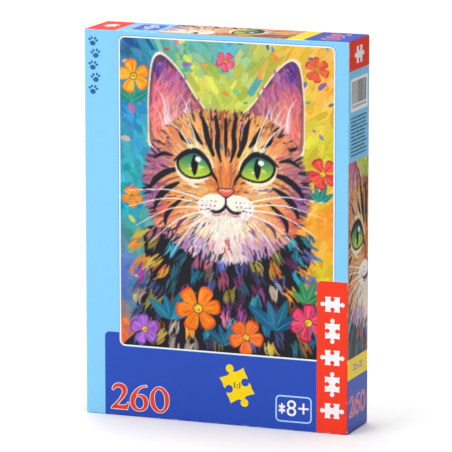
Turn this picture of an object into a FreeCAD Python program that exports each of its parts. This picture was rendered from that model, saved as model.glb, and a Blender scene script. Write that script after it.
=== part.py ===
"""A jigsaw puzzle in a full-depth lid-and-tray box, standing on its short edge.

The rigid box is made as such boxes are: a folded greyboard blank for the lid and one for the
tray, a paper stay round each cut corner, and a cover paper that turns in over the rim.  In the
tray stands a clear sealed bag, filled with the 260 loose interlocking pieces.

X runs across the front from left to right, Y from the front of the lid to the back of the tray,
and Z up.  The origin is under the middle of the box, on the surface that it stands on.
"""
import FreeCAD, Part
import math
import os
import random

# The closed box, in millimetres.
BOX_WIDTH = 175.0
BOX_DEPTH = 37.0
BOX_HEIGHT = 245.0

# Board and papers.
BOARD = 1.2
COVER_PAPER = 0.2
STAY_PAPER = 0.15
STAY_LEG = 11.0
TURN_IN = 15.0
CORNER_SLIT = 0.12
FOLD_RADIUS = 0.8

# How loosely the tray sits in the lid.
SLIDE_GAP = 0.4
RIM_GAP = 0.4
TRAY_PROUD = 0.2

# The bag of pieces.
BAG_FILM = 0.15
BAG_CLEARANCE = 0.4
BAG_WIDTH = 163.0
BAG_SHOULDER = 185.0
BAG_TOP = 224.0
BAG_SEAL = 9.0
BAG_SEAL_THICKNESS = 0.6
BAG_FRONT_ROOM = 2.6
VENT_RADIUS = 2.0
VENT_SPACING = 90.0

# The puzzle: a picture of 230 x 320 mm, cut into 13 columns and 20 rows.
PICTURE_WIDTH = 230.0
PICTURE_HEIGHT = 320.0
COLUMNS = 13
ROWS = 20
PIECE_THICKNESS = 1.9
KNOB_RADIUS = 2.3
KNOB_FILLET = 0.6
KNOB_REACH = 2.7
KNOB_VARIATION = 0.09
KNOB_DRIFT = 0.07
CORNER_JITTER = 0.8
CUTTING_SEED = 26

# How the pieces lie: each one is dropped on the heap, on a square grid of depths.
CELL = 1.0
MASK_CELL = 0.5
MASK_REACH = 15.0
MASK_GROWTH = 1.0
PILE_CLEARANCE = 0.4
PILE_HEIGHT = 178.0
PIECE_GAP = 0.1
STEEPEST = 0.24
TRIES = 55
LEAN_PROBE = 8.0
LEAN_RANDOM = 0.05
SETTLING = 0.07
FACE_UP_SHARE = 0.62
PILE_SEED = 13

V = FreeCAD.Vector


def block(x_low, x_high, y_low, y_high, z_low, z_high):
    """A box between two corners."""
    return Part.makeBox(x_high - x_low, y_high - y_low, z_high - z_low, V(x_low, y_low, z_low))


class Shell:
    """The sizes of one half of the box, lid or tray, at one of its surfaces.

    half is half the width, low and high are the heights of the lower and upper walls, and y_panel
    and y_rim are the places of the big panel and of the open rim.
    """

    def __init__(self, half, low, high, y_panel, y_rim):
        self.half = half
        self.low = low
        self.high = high
        self.y_panel = y_panel
        self.y_rim = y_rim

    def inset(self, wall, panel, rim):
        """The surface that lies further in by a wall, a panel and a rim thickness."""
        way = 1.0 if self.y_rim > self.y_panel else -1.0
        return Shell(self.half - wall, self.low + wall, self.high - wall,
                     self.y_panel + way * panel, self.y_rim - way * rim)

    def solid(self):
        """A plain block between the panel and the rim."""
        y_low = min(self.y_panel, self.y_rim)
        y_high = max(self.y_panel, self.y_rim)
        return block(-self.half, self.half, y_low, y_high, self.low, self.high)

    def folded(self, radius):
        """The block with its folds and corners rounded, as bent board is; the rim stays square."""
        solid = self.solid()
        folds = []
        for edge in solid.Edges:
            on_rim = all(abs(vertex.Y - self.y_rim) < 1e-6 for vertex in edge.Vertexes)
            if not on_rim:
                folds.append(edge)
        return solid.makeFillet(radius, folds)


def corner_blocks(shell):
    """Blocks that hold the four corners of a shell, by name, without its panel."""
    way = 1.0 if shell.y_rim > shell.y_panel else -1.0
    y_start = shell.y_panel + way * 2.0 * BOARD
    y_low = min(y_start, shell.y_rim)
    y_high = max(y_start, shell.y_rim)
    blocks = {}
    for side, x_corner in (("left", -shell.half), ("right", shell.half)):
        for level, z_corner in (("bottom", shell.low), ("top", shell.high)):
            blocks[f"{level}_{side}"] = block(x_corner - STAY_LEG, x_corner + STAY_LEG,
                                              y_low, y_high,
                                              z_corner - STAY_LEG, z_corner + STAY_LEG)
    return blocks


def corner_slits(cavity, far_y):
    """The slits where the cut ends of the upper and lower walls meet the side walls."""
    y_low = min(cavity.y_panel, far_y)
    y_high = max(cavity.y_panel, far_y)
    slits = []
    for x_wall in (-cavity.half, cavity.half - CORNER_SLIT):
        for z_low, z_high in ((cavity.low - 2.0 * BOARD, cavity.low),
                              (cavity.high, cavity.high + 2.0 * BOARD)):
            slits.append(block(x_wall, x_wall + CORNER_SLIT, y_low, y_high, z_low, z_high))
    return slits


def box_half(name, outside):
    """The board, corner stays and cover paper of the lid or the tray, by node name."""
    board_outside = outside.inset(COVER_PAPER, COVER_PAPER, COVER_PAPER)
    cavity = board_outside.inset(BOARD, BOARD, 0.0)
    way = 1.0 if outside.y_rim > outside.y_panel else -1.0
    beyond_rim = outside.y_rim + way

    board_skin = board_outside.folded(FOLD_RADIUS)
    hollow = Shell(cavity.half, cavity.low, cavity.high, cavity.y_panel, beyond_rim).solid()
    plain_board = board_skin.cut(hollow)

    stay_floor = board_outside.inset(STAY_PAPER, -BOARD, -BOARD).folded(FOLD_RADIUS - STAY_PAPER)
    stay_layer = plain_board.cut(stay_floor)
    nodes = {}
    stays = []
    for corner, corner_block in corner_blocks(board_outside).items():
        stay = stay_layer.common(corner_block).Solids[0]
        stays.append(stay)
        nodes[f"{name}_stay_{corner}"] = stay

    board = plain_board.cut(stays + corner_slits(cavity, beyond_rim)).removeSplitter()

    y_turn_in = outside.y_rim - way * TURN_IN
    deep_void = Shell(cavity.half, cavity.low, cavity.high, cavity.y_panel, y_turn_in).solid()
    mouth = cavity.inset(COVER_PAPER, 0.0, 0.0)
    mouth_void = Shell(mouth.half, mouth.low, mouth.high, y_turn_in, beyond_rim).solid()
    cover_skin = outside.folded(FOLD_RADIUS + COVER_PAPER)
    cover = cover_skin.cut([plain_board, deep_void, mouth_void]).removeSplitter()

    nodes[f"{name}_board"] = board.Solids[0]
    nodes[f"{name}_cover_paper"] = cover.Solids[0]
    return nodes


def lid_outside():
    """The outer surface of the closed lid."""
    return Shell(BOX_WIDTH / 2.0, 0.0, BOX_HEIGHT, -BOX_DEPTH / 2.0, BOX_DEPTH / 2.0 - TRAY_PROUD)


def tray_outside():
    """The outer surface of the tray, which the lid's turned-in paper just clears."""
    lid = lid_outside()
    inward = COVER_PAPER + BOARD + COVER_PAPER + SLIDE_GAP
    y_rim = lid.y_panel + COVER_PAPER + BOARD + RIM_GAP
    return Shell(lid.half - inward, lid.low + inward, lid.high - inward, BOX_DEPTH / 2.0, y_rim)


class BagRoom:
    """Where the bag stands in the tray."""

    def __init__(self):
        tray = tray_outside()
        wall = COVER_PAPER + BOARD + COVER_PAPER
        self.half = BAG_WIDTH / 2.0
        self.z_floor = tray.low + wall + BAG_CLEARANCE
        self.y_back = tray.y_panel - COVER_PAPER - BOARD - BAG_CLEARANCE
        self.y_front = tray.y_rim + BAG_FRONT_ROOM


def bag():
    """The clear bag: full of pieces up to its shoulder, and sealed flat above them."""
    room = BagRoom()

    def pouch(half, y_front, y_back, y_top, z_floor, z_shoulder, z_top):
        """A closed wedge: upright in front up to the shoulder, then sloping to the back."""
        corners = [V(-half, y_front, z_floor), V(-half, y_back, z_floor), V(-half, y_back, z_top),
                   V(-half, y_top, z_top), V(-half, y_front, z_shoulder)]
        outline = Part.makePolygon(corners + corners[:1])
        return Part.Face(outline).extrude(V(2.0 * half, 0.0, 0.0))

    y_seal = room.y_back - BAG_SEAL_THICKNESS
    z_seal = BAG_TOP - BAG_SEAL
    outside = pouch(room.half, room.y_front, room.y_back, y_seal,
                    room.z_floor, BAG_SHOULDER, z_seal)
    inside = pouch(room.half - BAG_FILM, room.y_front + BAG_FILM, room.y_back - BAG_FILM,
                   y_seal + BAG_FILM, room.z_floor + BAG_FILM,
                   BAG_SHOULDER - BAG_FILM, z_seal - BAG_FILM)
    seal = block(-room.half, room.half, y_seal, room.y_back, z_seal, BAG_TOP)
    vents = []
    for x_vent in (-VENT_SPACING / 2.0, VENT_SPACING / 2.0):
        z_vent = (BAG_SHOULDER + z_seal) / 2.0
        vents.append(Part.makeCylinder(VENT_RADIUS, BOX_DEPTH, V(x_vent, room.y_front, z_vent),
                                       V(0.0, 1.0, 0.0), 360.0))
    film_back = block(-room.half, room.half, room.y_back - BAG_FILM, room.y_back,
                      room.z_floor, z_seal)
    hollow = outside.cut([inside] + vents)
    return hollow.fuse([seal, film_back]).removeSplitter().Solids[0]


class Cut:
    """One die-cut line between two corners of the grid, as lines and arcs in the picture plane."""

    def __init__(self, start, end, knob_side, chance):
        self.strokes = []
        if knob_side == 0:
            self.strokes.append((start, end))
            return
        length = math.dist(start, end)
        along = ((end[0] - start[0]) / length, (end[1] - start[1]) / length)
        across = (-along[1] * knob_side, along[0] * knob_side)

        def vary(value):
            """A value changed a little, as the rule in the die is bent by hand."""
            return value * (1.0 + chance.uniform(-KNOB_VARIATION, KNOB_VARIATION))

        def place(distance, height):
            """A point at a distance along the cut and a height across it."""
            return (start[0] + distance * along[0] + height * across[0],
                    start[1] + distance * along[1] + height * across[1])

        radius = vary(KNOB_RADIUS)
        reach = vary(KNOB_REACH)
        middle = length * (0.5 + chance.uniform(-KNOB_DRIFT, KNOB_DRIFT))
        sides = []
        for way in (-1.0, 1.0):
            fillet = vary(KNOB_FILLET)
            spread = math.sqrt((radius + fillet) ** 2 - (reach - fillet) ** 2)
            foot = place(middle + way * spread, 0.0)
            share = radius / (radius + fillet)
            joint = (middle + way * spread * share, reach + (fillet - reach) * share)
            turn = math.atan2(reach - fillet, spread)
            bisector = (turn - math.pi / 2.0) / 2.0
            belly = (middle + way * (spread - fillet * math.cos(bisector)),
                     fillet + fillet * math.sin(bisector))
            sides.append((foot, place(*belly), place(*joint)))
        left, right = sides
        crown = place(middle, reach + radius)
        self.strokes = [(start, left[0]), left, (left[2], crown, right[2]),
                        (right[2], right[1], right[0]), (right[0], end)]

    def reversed_strokes(self):
        """The same line drawn from its end to its start."""
        return [tuple(reversed(stroke)) for stroke in reversed(self.strokes)]


class Puzzle:
    """The die-cut sheet: every cut is shared by the two pieces that it parts."""

    def __init__(self):
        chance = random.Random(CUTTING_SEED)
        pitch_x = PICTURE_WIDTH / COLUMNS
        pitch_y = PICTURE_HEIGHT / ROWS
        self.corners = {}
        for row in range(ROWS + 1):
            for column in range(COLUMNS + 1):
                x = column * pitch_x
                y = row * pitch_y
                if 0 < column < COLUMNS:
                    x += chance.uniform(-CORNER_JITTER, CORNER_JITTER)
                if 0 < row < ROWS:
                    y += chance.uniform(-CORNER_JITTER, CORNER_JITTER)
                self.corners[column, row] = (x, y)
        self.level_cuts = {}
        self.upright_cuts = {}
        for row in range(ROWS + 1):
            for column in range(COLUMNS):
                side = 0 if row in (0, ROWS) else chance.choice((-1, 1))
                self.level_cuts[column, row] = Cut(self.corners[column, row],
                                                   self.corners[column + 1, row], side, chance)
        for row in range(ROWS):
            for column in range(COLUMNS + 1):
                side = 0 if column in (0, COLUMNS) else chance.choice((-1, 1))
                self.upright_cuts[column, row] = Cut(self.corners[column, row],
                                                     self.corners[column, row + 1], side, chance)

    def outline(self, column, row):
        """The strokes round one piece, anticlockwise, about the middle of its four corners."""
        strokes = list(self.level_cuts[column, row].strokes)
        strokes += self.upright_cuts[column + 1, row].strokes
        strokes += self.level_cuts[column, row + 1].reversed_strokes()
        strokes += self.upright_cuts[column, row].reversed_strokes()
        four = [self.corners[column + i, row + j] for i in (0, 1) for j in (0, 1)]
        middle_x = sum(corner[0] for corner in four) / 4.0
        middle_y = sum(corner[1] for corner in four) / 4.0
        return [tuple((x - middle_x, y - middle_y) for x, y in stroke) for stroke in strokes]


def outline_points(strokes):
    """The outline as a fine polygon."""
    points = []
    for stroke in strokes:
        if len(stroke) == 2:
            points.append(stroke[0])
            continue
        arc = Part.Arc(*[V(x, y, 0.0) for x, y in stroke]).toShape()
        steps = max(3, int(arc.Length / MASK_CELL))
        points += [(point.x, point.y) for point in arc.discretize(steps + 1)[:-1]]
    return points


def grown_mask(strokes):
    """Rows of cells that the piece covers, grown a little all round."""
    points = outline_points(strokes)
    count = int(2.0 * MASK_REACH / MASK_CELL)
    mask = [bytearray(count) for _ in range(count)]
    growth_rows = int(MASK_GROWTH / MASK_CELL)
    ends = list(zip(points, points[1:] + points[:1]))
    for index in range(count):
        level = (index + 0.5) * MASK_CELL - MASK_REACH
        crossings = []
        for (x_one, y_one), (x_two, y_two) in ends:
            if (y_one > level) != (y_two > level):
                crossings.append(x_one + (level - y_one) * (x_two - x_one) / (y_two - y_one))
        crossings.sort()
        for x_start, x_end in zip(crossings[::2], crossings[1::2]):
            for shift in range(-growth_rows, growth_rows + 1):
                if not 0 <= index + shift < count:
                    continue
                growth = math.sqrt(MASK_GROWTH ** 2 - (shift * MASK_CELL) ** 2)
                first = int((x_start - growth + MASK_REACH) / MASK_CELL)
                last = int((x_end + growth + MASK_REACH) / MASK_CELL)
                row = mask[index + shift]
                for cell in range(max(first, 0), min(last + 1, count)):
                    row[cell] = 1
    return mask


class Pile:
    """The heap in the bag, as the depth reached so far in front of the tray's base.

    It is built up as the bag is filled, with the tray lying on its base: across and up the box
    run the columns and rows of a grid, and each piece drops onto the depth that is there already.
    """

    def __init__(self):
        room = BagRoom()
        spare = BAG_FILM + PILE_CLEARANCE
        self.x_low = -room.half + spare
        self.z_low = room.z_floor + spare
        self.y_base = room.y_back - spare
        self.deepest = room.y_back - room.y_front - 2.0 * spare
        self.columns = int((2.0 * room.half - 2.0 * spare) / CELL)
        self.rows = int(PILE_HEIGHT / CELL)
        self.depth = [[0.0] * self.columns for _ in range(self.rows)]
        self.chance = random.Random(PILE_SEED)

    def lean(self, column, row):
        """The slope of the heap round a cell, from the depths on either side of it."""
        reach = int(LEAN_PROBE / CELL)
        left = max(column - reach, 0)
        right = min(column + reach, self.columns - 1)
        below = max(row - reach, 0)
        above = min(row + reach, self.rows - 1)
        slope_x = (self.depth[row][right] - self.depth[row][left]) / ((right - left) * CELL)
        slope_z = (self.depth[above][column] - self.depth[below][column]) / ((above - below) * CELL)
        slopes = []
        for slope in (slope_x, slope_z):
            slope += self.chance.uniform(-LEAN_RANDOM, LEAN_RANDOM)
            slopes.append(max(-STEEPEST, min(STEEPEST, slope)))
        return slopes

    def footprint(self, mask, column, row, turn, slope_x, slope_z):
        """The cells behind a piece that leans by two slopes, or None where it meets a wall.

        Each cell comes with the depth of the piece's middle plane over its centre.
        """
        across, upward, _ = axes(turn, slope_x, slope_z)
        ground = across.x * upward.y - across.y * upward.x
        reach = int(MASK_REACH / CELL)
        count = len(mask)
        cells = []
        for step_row in range(-reach, reach + 1):
            for step_column in range(-reach, reach + 1):
                x = step_column * CELL
                z = step_row * CELL
                u = (x * upward.y - z * upward.x) / ground
                v = (z * across.x - x * across.y) / ground
                mask_column = int((u + MASK_REACH) / MASK_CELL)
                mask_row = int((v + MASK_REACH) / MASK_CELL)
                if not (0 <= mask_column < count and 0 <= mask_row < count):
                    continue
                if not mask[mask_row][mask_column]:
                    continue
                if not (0 <= column + step_column < self.columns
                        and 0 <= row + step_row < self.rows):
                    return None
                cells.append((column + step_column, row + step_row, x * slope_x + z * slope_z))
        return cells

    def drop(self, mask):
        """Let a piece fall where it comes to lie deepest and lowest; return its place and axes."""
        best = None
        tries = 0
        while tries < TRIES:
            column = self.chance.randrange(self.columns)
            row = self.chance.randrange(self.rows)
            turn = self.chance.uniform(0.0, 2.0 * math.pi)
            slope_x, slope_z = self.lean(column, row)
            cells = self.footprint(mask, column, row, turn, slope_x, slope_z)
            if not cells:
                continue
            tilt = math.sqrt(1.0 + slope_x ** 2 + slope_z ** 2)
            half = 0.5 * PIECE_THICKNESS * tilt + 0.5 * CELL * (abs(slope_x) + abs(slope_z))
            rest = max(self.depth[r][c] - rise for c, r, rise in cells) + half + PIECE_GAP
            tries += 1
            if rest + half + max(rise for _, _, rise in cells) > self.deepest:
                continue
            cost = rest + SETTLING * row * CELL
            if best is None or cost < best[0]:
                best = (cost, rest, half, column, row, turn, slope_x, slope_z, cells)
        _, rest, half, column, row, turn, slope_x, slope_z, cells = best
        for cell_column, cell_row, rise in cells:
            self.depth[cell_row][cell_column] = rest + rise + half
        middle = V(self.x_low + (column + 0.5) * CELL, self.y_base - rest,
                   self.z_low + (row + 0.5) * CELL)
        return middle, [stood_up(axis) for axis in axes(turn, slope_x, slope_z)]


def stood_up(direction):
    """A direction on the lying tray, after the box is stood on its short edge."""
    return V(direction.x, -direction.z, direction.y)


def axes(turn, slope_x, slope_z):
    """The directions of a leaning piece's width, height and thickness on the lying tray."""
    thickness = V(-slope_x, -slope_z, 1.0).normalize()
    level = V(math.cos(turn), math.sin(turn), 0.0)
    width = (level - thickness * level.dot(thickness)).normalize()
    return width, thickness.cross(width), thickness


def piece(strokes, middle, directions, face_up):
    """One puzzle piece where it lies, with its printed face along the thickness direction."""
    width, height, thickness = directions
    if not face_up:
        height = -height
        thickness = -thickness
    back = middle - thickness * (PIECE_THICKNESS / 2.0)
    edges = []
    for stroke in strokes:
        ends = [back + width * x + height * y for x, y in stroke]
        if len(ends) == 2:
            edges.append(Part.LineSegment(*ends).toShape())
        else:
            edges.append(Part.Arc(*ends).toShape())
    return Part.Face(Part.Wire(edges)).extrude(thickness * PIECE_THICKNESS)


def puzzle_rows():
    """The 260 pieces as they lie in the bag, one node for each row of the picture."""
    puzzle = Puzzle()
    pile = Pile()
    order = [(column, row) for row in range(ROWS) for column in range(COLUMNS)]
    pile.chance.shuffle(order)
    placed = {}
    for column, row in order:
        strokes = puzzle.outline(column, row)
        face_up = pile.chance.random() < FACE_UP_SHARE
        mask = grown_mask(strokes if face_up else [tuple((x, -y) for x, y in stroke)
                                                   for stroke in strokes])
        middle, directions = pile.drop(mask)
        placed[column, row] = piece(strokes, middle, directions, face_up)
    profile = [max(pile.depth[row]) for row in range(0, pile.rows, 10)]
    print("depth of the heap every 10 mm up:", [round(depth, 1) for depth in profile])
    nodes = {}
    for row in range(ROWS):
        solids = [placed[column, row] for column in range(COLUMNS)]
        nodes[f"puzzle_row_{row + 1:02d}"] = Part.makeCompound(solids)
    return nodes


def main():
    """Build every node and write its STEP file."""
    nodes = box_half("lid", lid_outside())
    nodes.update(box_half("tray", tray_outside()))
    nodes["bag"] = bag()
    nodes.update(puzzle_rows())
    os.makedirs("parts", exist_ok=True)
    for name, shape in nodes.items():
        print(name, len(shape.Solids), "solids", round(shape.Volume / 1000.0, 3), "cm3",
              "valid" if shape.isValid() else "NOT VALID")
        shape.exportStep(f"parts/{name}.step")


main()
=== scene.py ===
"""A boxed jigsaw puzzle: the looks of the lid, its print, the tray, the bag and its pieces."""
import logging
import math
import random
from collections.abc import Callable, Iterator
from contextlib import contextmanager
from dataclasses import dataclass, field
from enum import Enum

import bmesh
import bpy
import numpy as np
from bpy.types import Material, Mesh, Node, NodeSocket, NodeTree, Object
from mathutils import Matrix, Vector


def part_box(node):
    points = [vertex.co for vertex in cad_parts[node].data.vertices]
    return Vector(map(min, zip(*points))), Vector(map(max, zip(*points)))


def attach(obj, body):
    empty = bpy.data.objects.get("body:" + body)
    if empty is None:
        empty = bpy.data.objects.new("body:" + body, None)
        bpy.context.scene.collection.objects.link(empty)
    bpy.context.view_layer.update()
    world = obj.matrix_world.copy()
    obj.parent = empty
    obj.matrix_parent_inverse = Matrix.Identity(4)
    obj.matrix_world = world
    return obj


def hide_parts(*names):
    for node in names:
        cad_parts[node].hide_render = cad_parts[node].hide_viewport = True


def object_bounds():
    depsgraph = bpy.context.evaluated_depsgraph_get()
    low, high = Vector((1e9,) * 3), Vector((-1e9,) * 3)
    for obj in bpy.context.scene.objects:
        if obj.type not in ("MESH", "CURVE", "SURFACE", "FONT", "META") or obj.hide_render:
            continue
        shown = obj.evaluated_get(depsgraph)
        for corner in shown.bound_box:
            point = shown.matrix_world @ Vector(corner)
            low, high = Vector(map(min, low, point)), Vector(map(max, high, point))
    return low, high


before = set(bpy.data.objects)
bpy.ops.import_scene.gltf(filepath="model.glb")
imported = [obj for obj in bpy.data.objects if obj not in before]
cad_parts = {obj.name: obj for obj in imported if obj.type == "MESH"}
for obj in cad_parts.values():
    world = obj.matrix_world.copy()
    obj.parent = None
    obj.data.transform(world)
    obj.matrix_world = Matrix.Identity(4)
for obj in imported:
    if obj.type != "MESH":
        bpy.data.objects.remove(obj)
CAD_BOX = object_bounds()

LOG = logging.getLogger("boxed_puzzle")
MM = 0.001
# How near two vertices of a thin print or piece are when they are one.
MERGE = 0.000002

# A colour as it is given, red, green and blue from 0 to 255.
Colour = tuple[int, int, int]
# A colour that has been mixed from others, or shifted a little.
Paint = Colour | list[float] | np.ndarray
# A place on a flat sheet, right and up or right and down.
Point = tuple[float, float]
# What a shader's input is given: a plain value, or what another node puts out.
Feed = NodeSocket | float | tuple[float, ...]

# The left and the right of a face.
SIDES = (-1.0, 1.0)

SKY: Colour = (137, 210, 250)
NAVY: Colour = (40, 78, 186)
SIGNAL_RED: Colour = (250, 58, 28)
DIGIT_RED: Colour = (236, 62, 36)
LEMON: Colour = (255, 222, 0)
CARD_WHITE: Colour = (250, 250, 252)
PALE_BLUE: Colour = (176, 216, 255)
TITLE_BLUE: Colour = (28, 104, 168)
VIOLET: Colour = (84, 92, 214)
SMALL_PRINT: Colour = (34, 52, 84)
ART_GROUND: Colour = (190, 134, 84)
OLIVE: Colour = (104, 94, 24)
BLACK: Colour = (24, 24, 26)


def linear(colour: Colour) -> tuple[float, float, float, float]:
    """A colour as the shader counts it.

    Args:
        colour: red, green and blue from 0 to 255.

    Returns:
        Linear red, green, blue and an alpha of 1.
    """
    red, green, blue = lit(np.array(colour) / 255.0).tolist()
    return (red, green, blue, 1.0)


def lit(tones: np.ndarray) -> np.ndarray:
    """Many colours as the shader counts them, from shares of 0 to 1."""
    return np.where(tones <= 0.04045, tones / 12.92, ((tones + 0.055) / 1.055) ** 2.4)


def between(grid: np.ndarray, first: np.ndarray, second: np.ndarray) -> np.ndarray:
    """Read a grid of numbers or of colours between its cells, at places counted in cells."""
    first = np.clip(first, 0.0, grid.shape[0] - 1.001)
    second = np.clip(second, 0.0, grid.shape[1] - 1.001)
    i, j = first.astype(int), second.astype(int)
    a, b = ((part[:, None] if grid.ndim == 3 else part) for part in (first - i, second - j))
    return ((grid[i, j] * (1 - a) + grid[i + 1, j] * a) * (1 - b)
            + (grid[i, j + 1] * (1 - a) + grid[i + 1, j + 1] * a) * b)


def places_of(mesh: Mesh) -> np.ndarray:
    """Where a mesh's vertices are, one row each."""
    places = np.empty(len(mesh.vertices) * 3)
    mesh.vertices.foreach_get("co", places)
    return places.reshape(-1, 3)


def move_to(mesh: Mesh, places: np.ndarray) -> None:
    """Move a mesh's vertices to new places."""
    mesh.vertices.foreach_set("co", places.ravel())
    mesh.update()


def turned(across: float, up: float, turn: float) -> Point:
    """A place turned about the origin by an angle in radians."""
    return (across * math.cos(turn) - up * math.sin(turn), across * math.sin(turn) + up * math.cos(turn))




# Finishes


class Nodes:
    """A short hand for building a shader from small steps."""

    def __init__(self, tree: NodeTree) -> None:
        """Work on a node tree."""
        self.tree = tree

    def add(self, kind: str, **settings) -> Node:
        """A new node with its settings."""
        node = self.tree.nodes.new(kind)
        for name, value in settings.items():
            setattr(node, name, value)
        return node

    def link(self, source: Feed, target: NodeSocket) -> None:
        """Join a socket to another, or set the target to a plain value."""
        if isinstance(source, NodeSocket):
            self.tree.links.new(source, target)
        else:
            target.default_value = source

    def feed(self, node: Node, **inputs) -> Node:
        """Give a node's inputs their values, by their names with _ for a blank."""
        for label, value in inputs.items():
            self.link(value, node.inputs[label.replace("_", " ")])
        return node

    def maths(self, operation: str, first: Feed, second: Feed = 0.0, third: Feed = 0.0) -> NodeSocket:
        """One step of arithmetic on sockets or numbers."""
        node = self.add("ShaderNodeMath", operation=operation)
        for value, socket in zip((first, second, third), node.inputs):
            self.link(value, socket)
        return node.outputs[0]

    def smoothstep(self, value: Feed, low: Feed, high: Feed) -> NodeSocket:
        """0 below low, 1 above high, and smooth between."""
        node = self.add("ShaderNodeMapRange", interpolation_type="SMOOTHSTEP")
        return self.feed(node, Value=value, From_Min=low, From_Max=high).outputs["Result"]

    def mix(self, share: Feed, first: Feed, second: Feed) -> NodeSocket:
        """Two colours mixed by a share."""
        node = self.add("ShaderNodeMix", data_type="RGBA")
        self.link(share, node.inputs[0])
        self.link(first, node.inputs[6])
        self.link(second, node.inputs[7])
        return node.outputs[2]

    def noise(self, where: Feed, scale: float, detail: float = 3.0,
              kind: str = "ShaderNodeTexNoise") -> NodeSocket:
        """The value of a noise pattern at a place."""
        node = self.feed(self.add(kind), Vector=where, Scale=scale)
        if "Detail" in node.inputs:
            node.inputs["Detail"].default_value = detail
        return node.outputs[0]


def new_group(name: str, inputs: list[tuple], outputs: list[tuple]) -> tuple:
    """An empty shader node group.

    Args:
        name: the group's name.
        inputs: each input's name, socket type and first value.
        outputs: each output's name and socket type.

    Returns:
        The group, its steps, and its input and output nodes.
    """
    group = bpy.data.node_groups.new(name, "ShaderNodeTree")
    for label, kind, value in inputs:
        socket = group.interface.new_socket(label, in_out="INPUT", socket_type="NodeSocket" + kind)
        if value is not None:
            socket.default_value = value
    for label, kind in outputs:
        group.interface.new_socket(label, in_out="OUTPUT", socket_type="NodeSocket" + kind)
    steps = Nodes(group)
    return group, steps, steps.add("NodeGroupInput"), steps.add("NodeGroupOutput")


class Effects:
    """The effects that several finishes share, each one node group, built when first used."""

    def __init__(self) -> None:
        """Start with no groups."""
        self.groups: dict[str, NodeTree] = {}

    def place(self, steps: Nodes, name: str, **inputs) -> Node:
        """Put one effect in a material, with its own values."""
        if name not in self.groups:
            self.groups[name] = getattr(self, name)()
        return steps.feed(steps.add("ShaderNodeGroup", node_tree=self.groups[name]), **inputs)

    @staticmethod
    def ink_grain() -> NodeTree:
        """Fine mottling of printed ink, the paper's fibres under it, and the varnish's ripple."""
        group, steps, given, result = new_group(
            "ink_grain",
            [("Where", "Vector", None), ("Amount", "Float", 0.04)],
            [("Tone", "Float"), ("Height", "Float"),
             ("Gloss", "Float")])
        mottle, cloud, fibre, ripple = (
            steps.noise(given.outputs["Where"], scale, detail)
            for scale, detail in ((900.0, 4.0), (22.0, 2.0), (2600.0, 2.0), (140.0, 2.0)))
        fine = steps.maths("SUBTRACT", mottle, 0.5)
        broad = steps.maths("SUBTRACT", cloud, 0.5)
        both = steps.maths("MULTIPLY_ADD", fine, 1.2, broad)
        tone = steps.maths("MULTIPLY_ADD", both, given.outputs["Amount"], 1.0)
        height = steps.maths("MULTIPLY_ADD", fibre, 0.35, ripple)
        gloss = steps.maths("MULTIPLY_ADD", mottle, 0.10, -0.05)
        steps.feed(result, Tone=tone, Height=height, Gloss=gloss)
        return group

    @staticmethod
    def board_fibre() -> NodeTree:
        """Recycled board: long fibres, dark and light specks."""
        group, steps, given, result = new_group(
            "board_fibre",
            [("Where", "Vector", None), ("Base", "Color", (0.4, 0.4, 0.4, 1.0)),
             ("Contrast", "Float", 1.0)],
            [("Color", "Color"), ("Height", "Float")])
        stretch = steps.add("ShaderNodeMapping", vector_type="POINT")
        steps.feed(stretch, Vector=given.outputs["Where"], Scale=(1.0, 1.0, 0.22))
        fibres = steps.noise(stretch.outputs["Vector"], 1500.0, 5.0)
        cloud = steps.noise(given.outputs["Where"], 60.0, 3.0)
        specks = steps.noise(given.outputs["Where"], 620.0, kind="ShaderNodeTexVoronoi")
        speck = steps.smoothstep(specks, 0.16, 0.08)
        fibre = steps.maths("MULTIPLY_ADD", fibres, 0.5, -0.25)
        broad = steps.maths("MULTIPLY_ADD", cloud, 0.22, -0.11)
        tone = steps.maths("ADD", fibre, broad)
        tone = steps.maths("MULTIPLY", tone, given.outputs["Contrast"])
        shade = tinted(steps, given.outputs["Base"], steps.maths("ADD", tone, 1.0))
        strength = steps.maths("MULTIPLY", speck, 0.35)
        speckled = steps.mix(strength, shade, (0.09, 0.075, 0.06, 1.0))
        steps.feed(result, Color=speckled, Height=fibres)
        return group

    @staticmethod
    def rounded_patch() -> NodeTree:
        """1 inside a rounded rectangle on a face of the box, and 0 outside it."""
        group, steps, given, result = new_group(
            "rounded_patch",
            [(name, "Float", 0.0) for name in ("Across", "Up", "Left", "Right", "Bottom", "Top", "Radius")],
            [("Mask", "Float")])
        out = given.outputs
        gaps = []
        for value, low, high in ((out["Across"], out["Left"], out["Right"]),
                                 (out["Up"], out["Bottom"], out["Top"])):
            middle = steps.maths("MULTIPLY", steps.maths("ADD", low, high), 0.5)
            half = steps.maths("MULTIPLY", steps.maths("SUBTRACT", high, low), 0.5)
            off = steps.maths("ABSOLUTE", steps.maths("SUBTRACT", value, middle))
            past = steps.maths("ADD", steps.maths("SUBTRACT", off, half), out["Radius"])
            gaps.append(steps.maths("MAXIMUM", past, 0.0))
        squares = steps.maths("ADD", steps.maths("MULTIPLY", gaps[0], gaps[0]),
                              steps.maths("MULTIPLY", gaps[1], gaps[1]))
        distance = steps.maths("SQRT", squares)
        mask = steps.maths("LESS_THAN", distance, out["Radius"])
        steps.link(mask, result.inputs["Mask"])
        return group


EFFECTS = Effects()


def tinted(steps: Nodes, colour: Feed, tone: Feed) -> NodeSocket:
    """A colour made lighter or darker by a tone round 1."""
    shade = steps.add("ShaderNodeMix", data_type="RGBA", blend_type="MULTIPLY")
    shade.inputs[0].default_value = 1.0
    steps.link(colour, shade.inputs[6])
    grey = steps.add("ShaderNodeCombineColor")
    for index in range(3):
        steps.link(tone, grey.inputs[index])
    steps.link(grey.outputs[0], shade.inputs[7])
    return shade.outputs[2]


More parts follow.
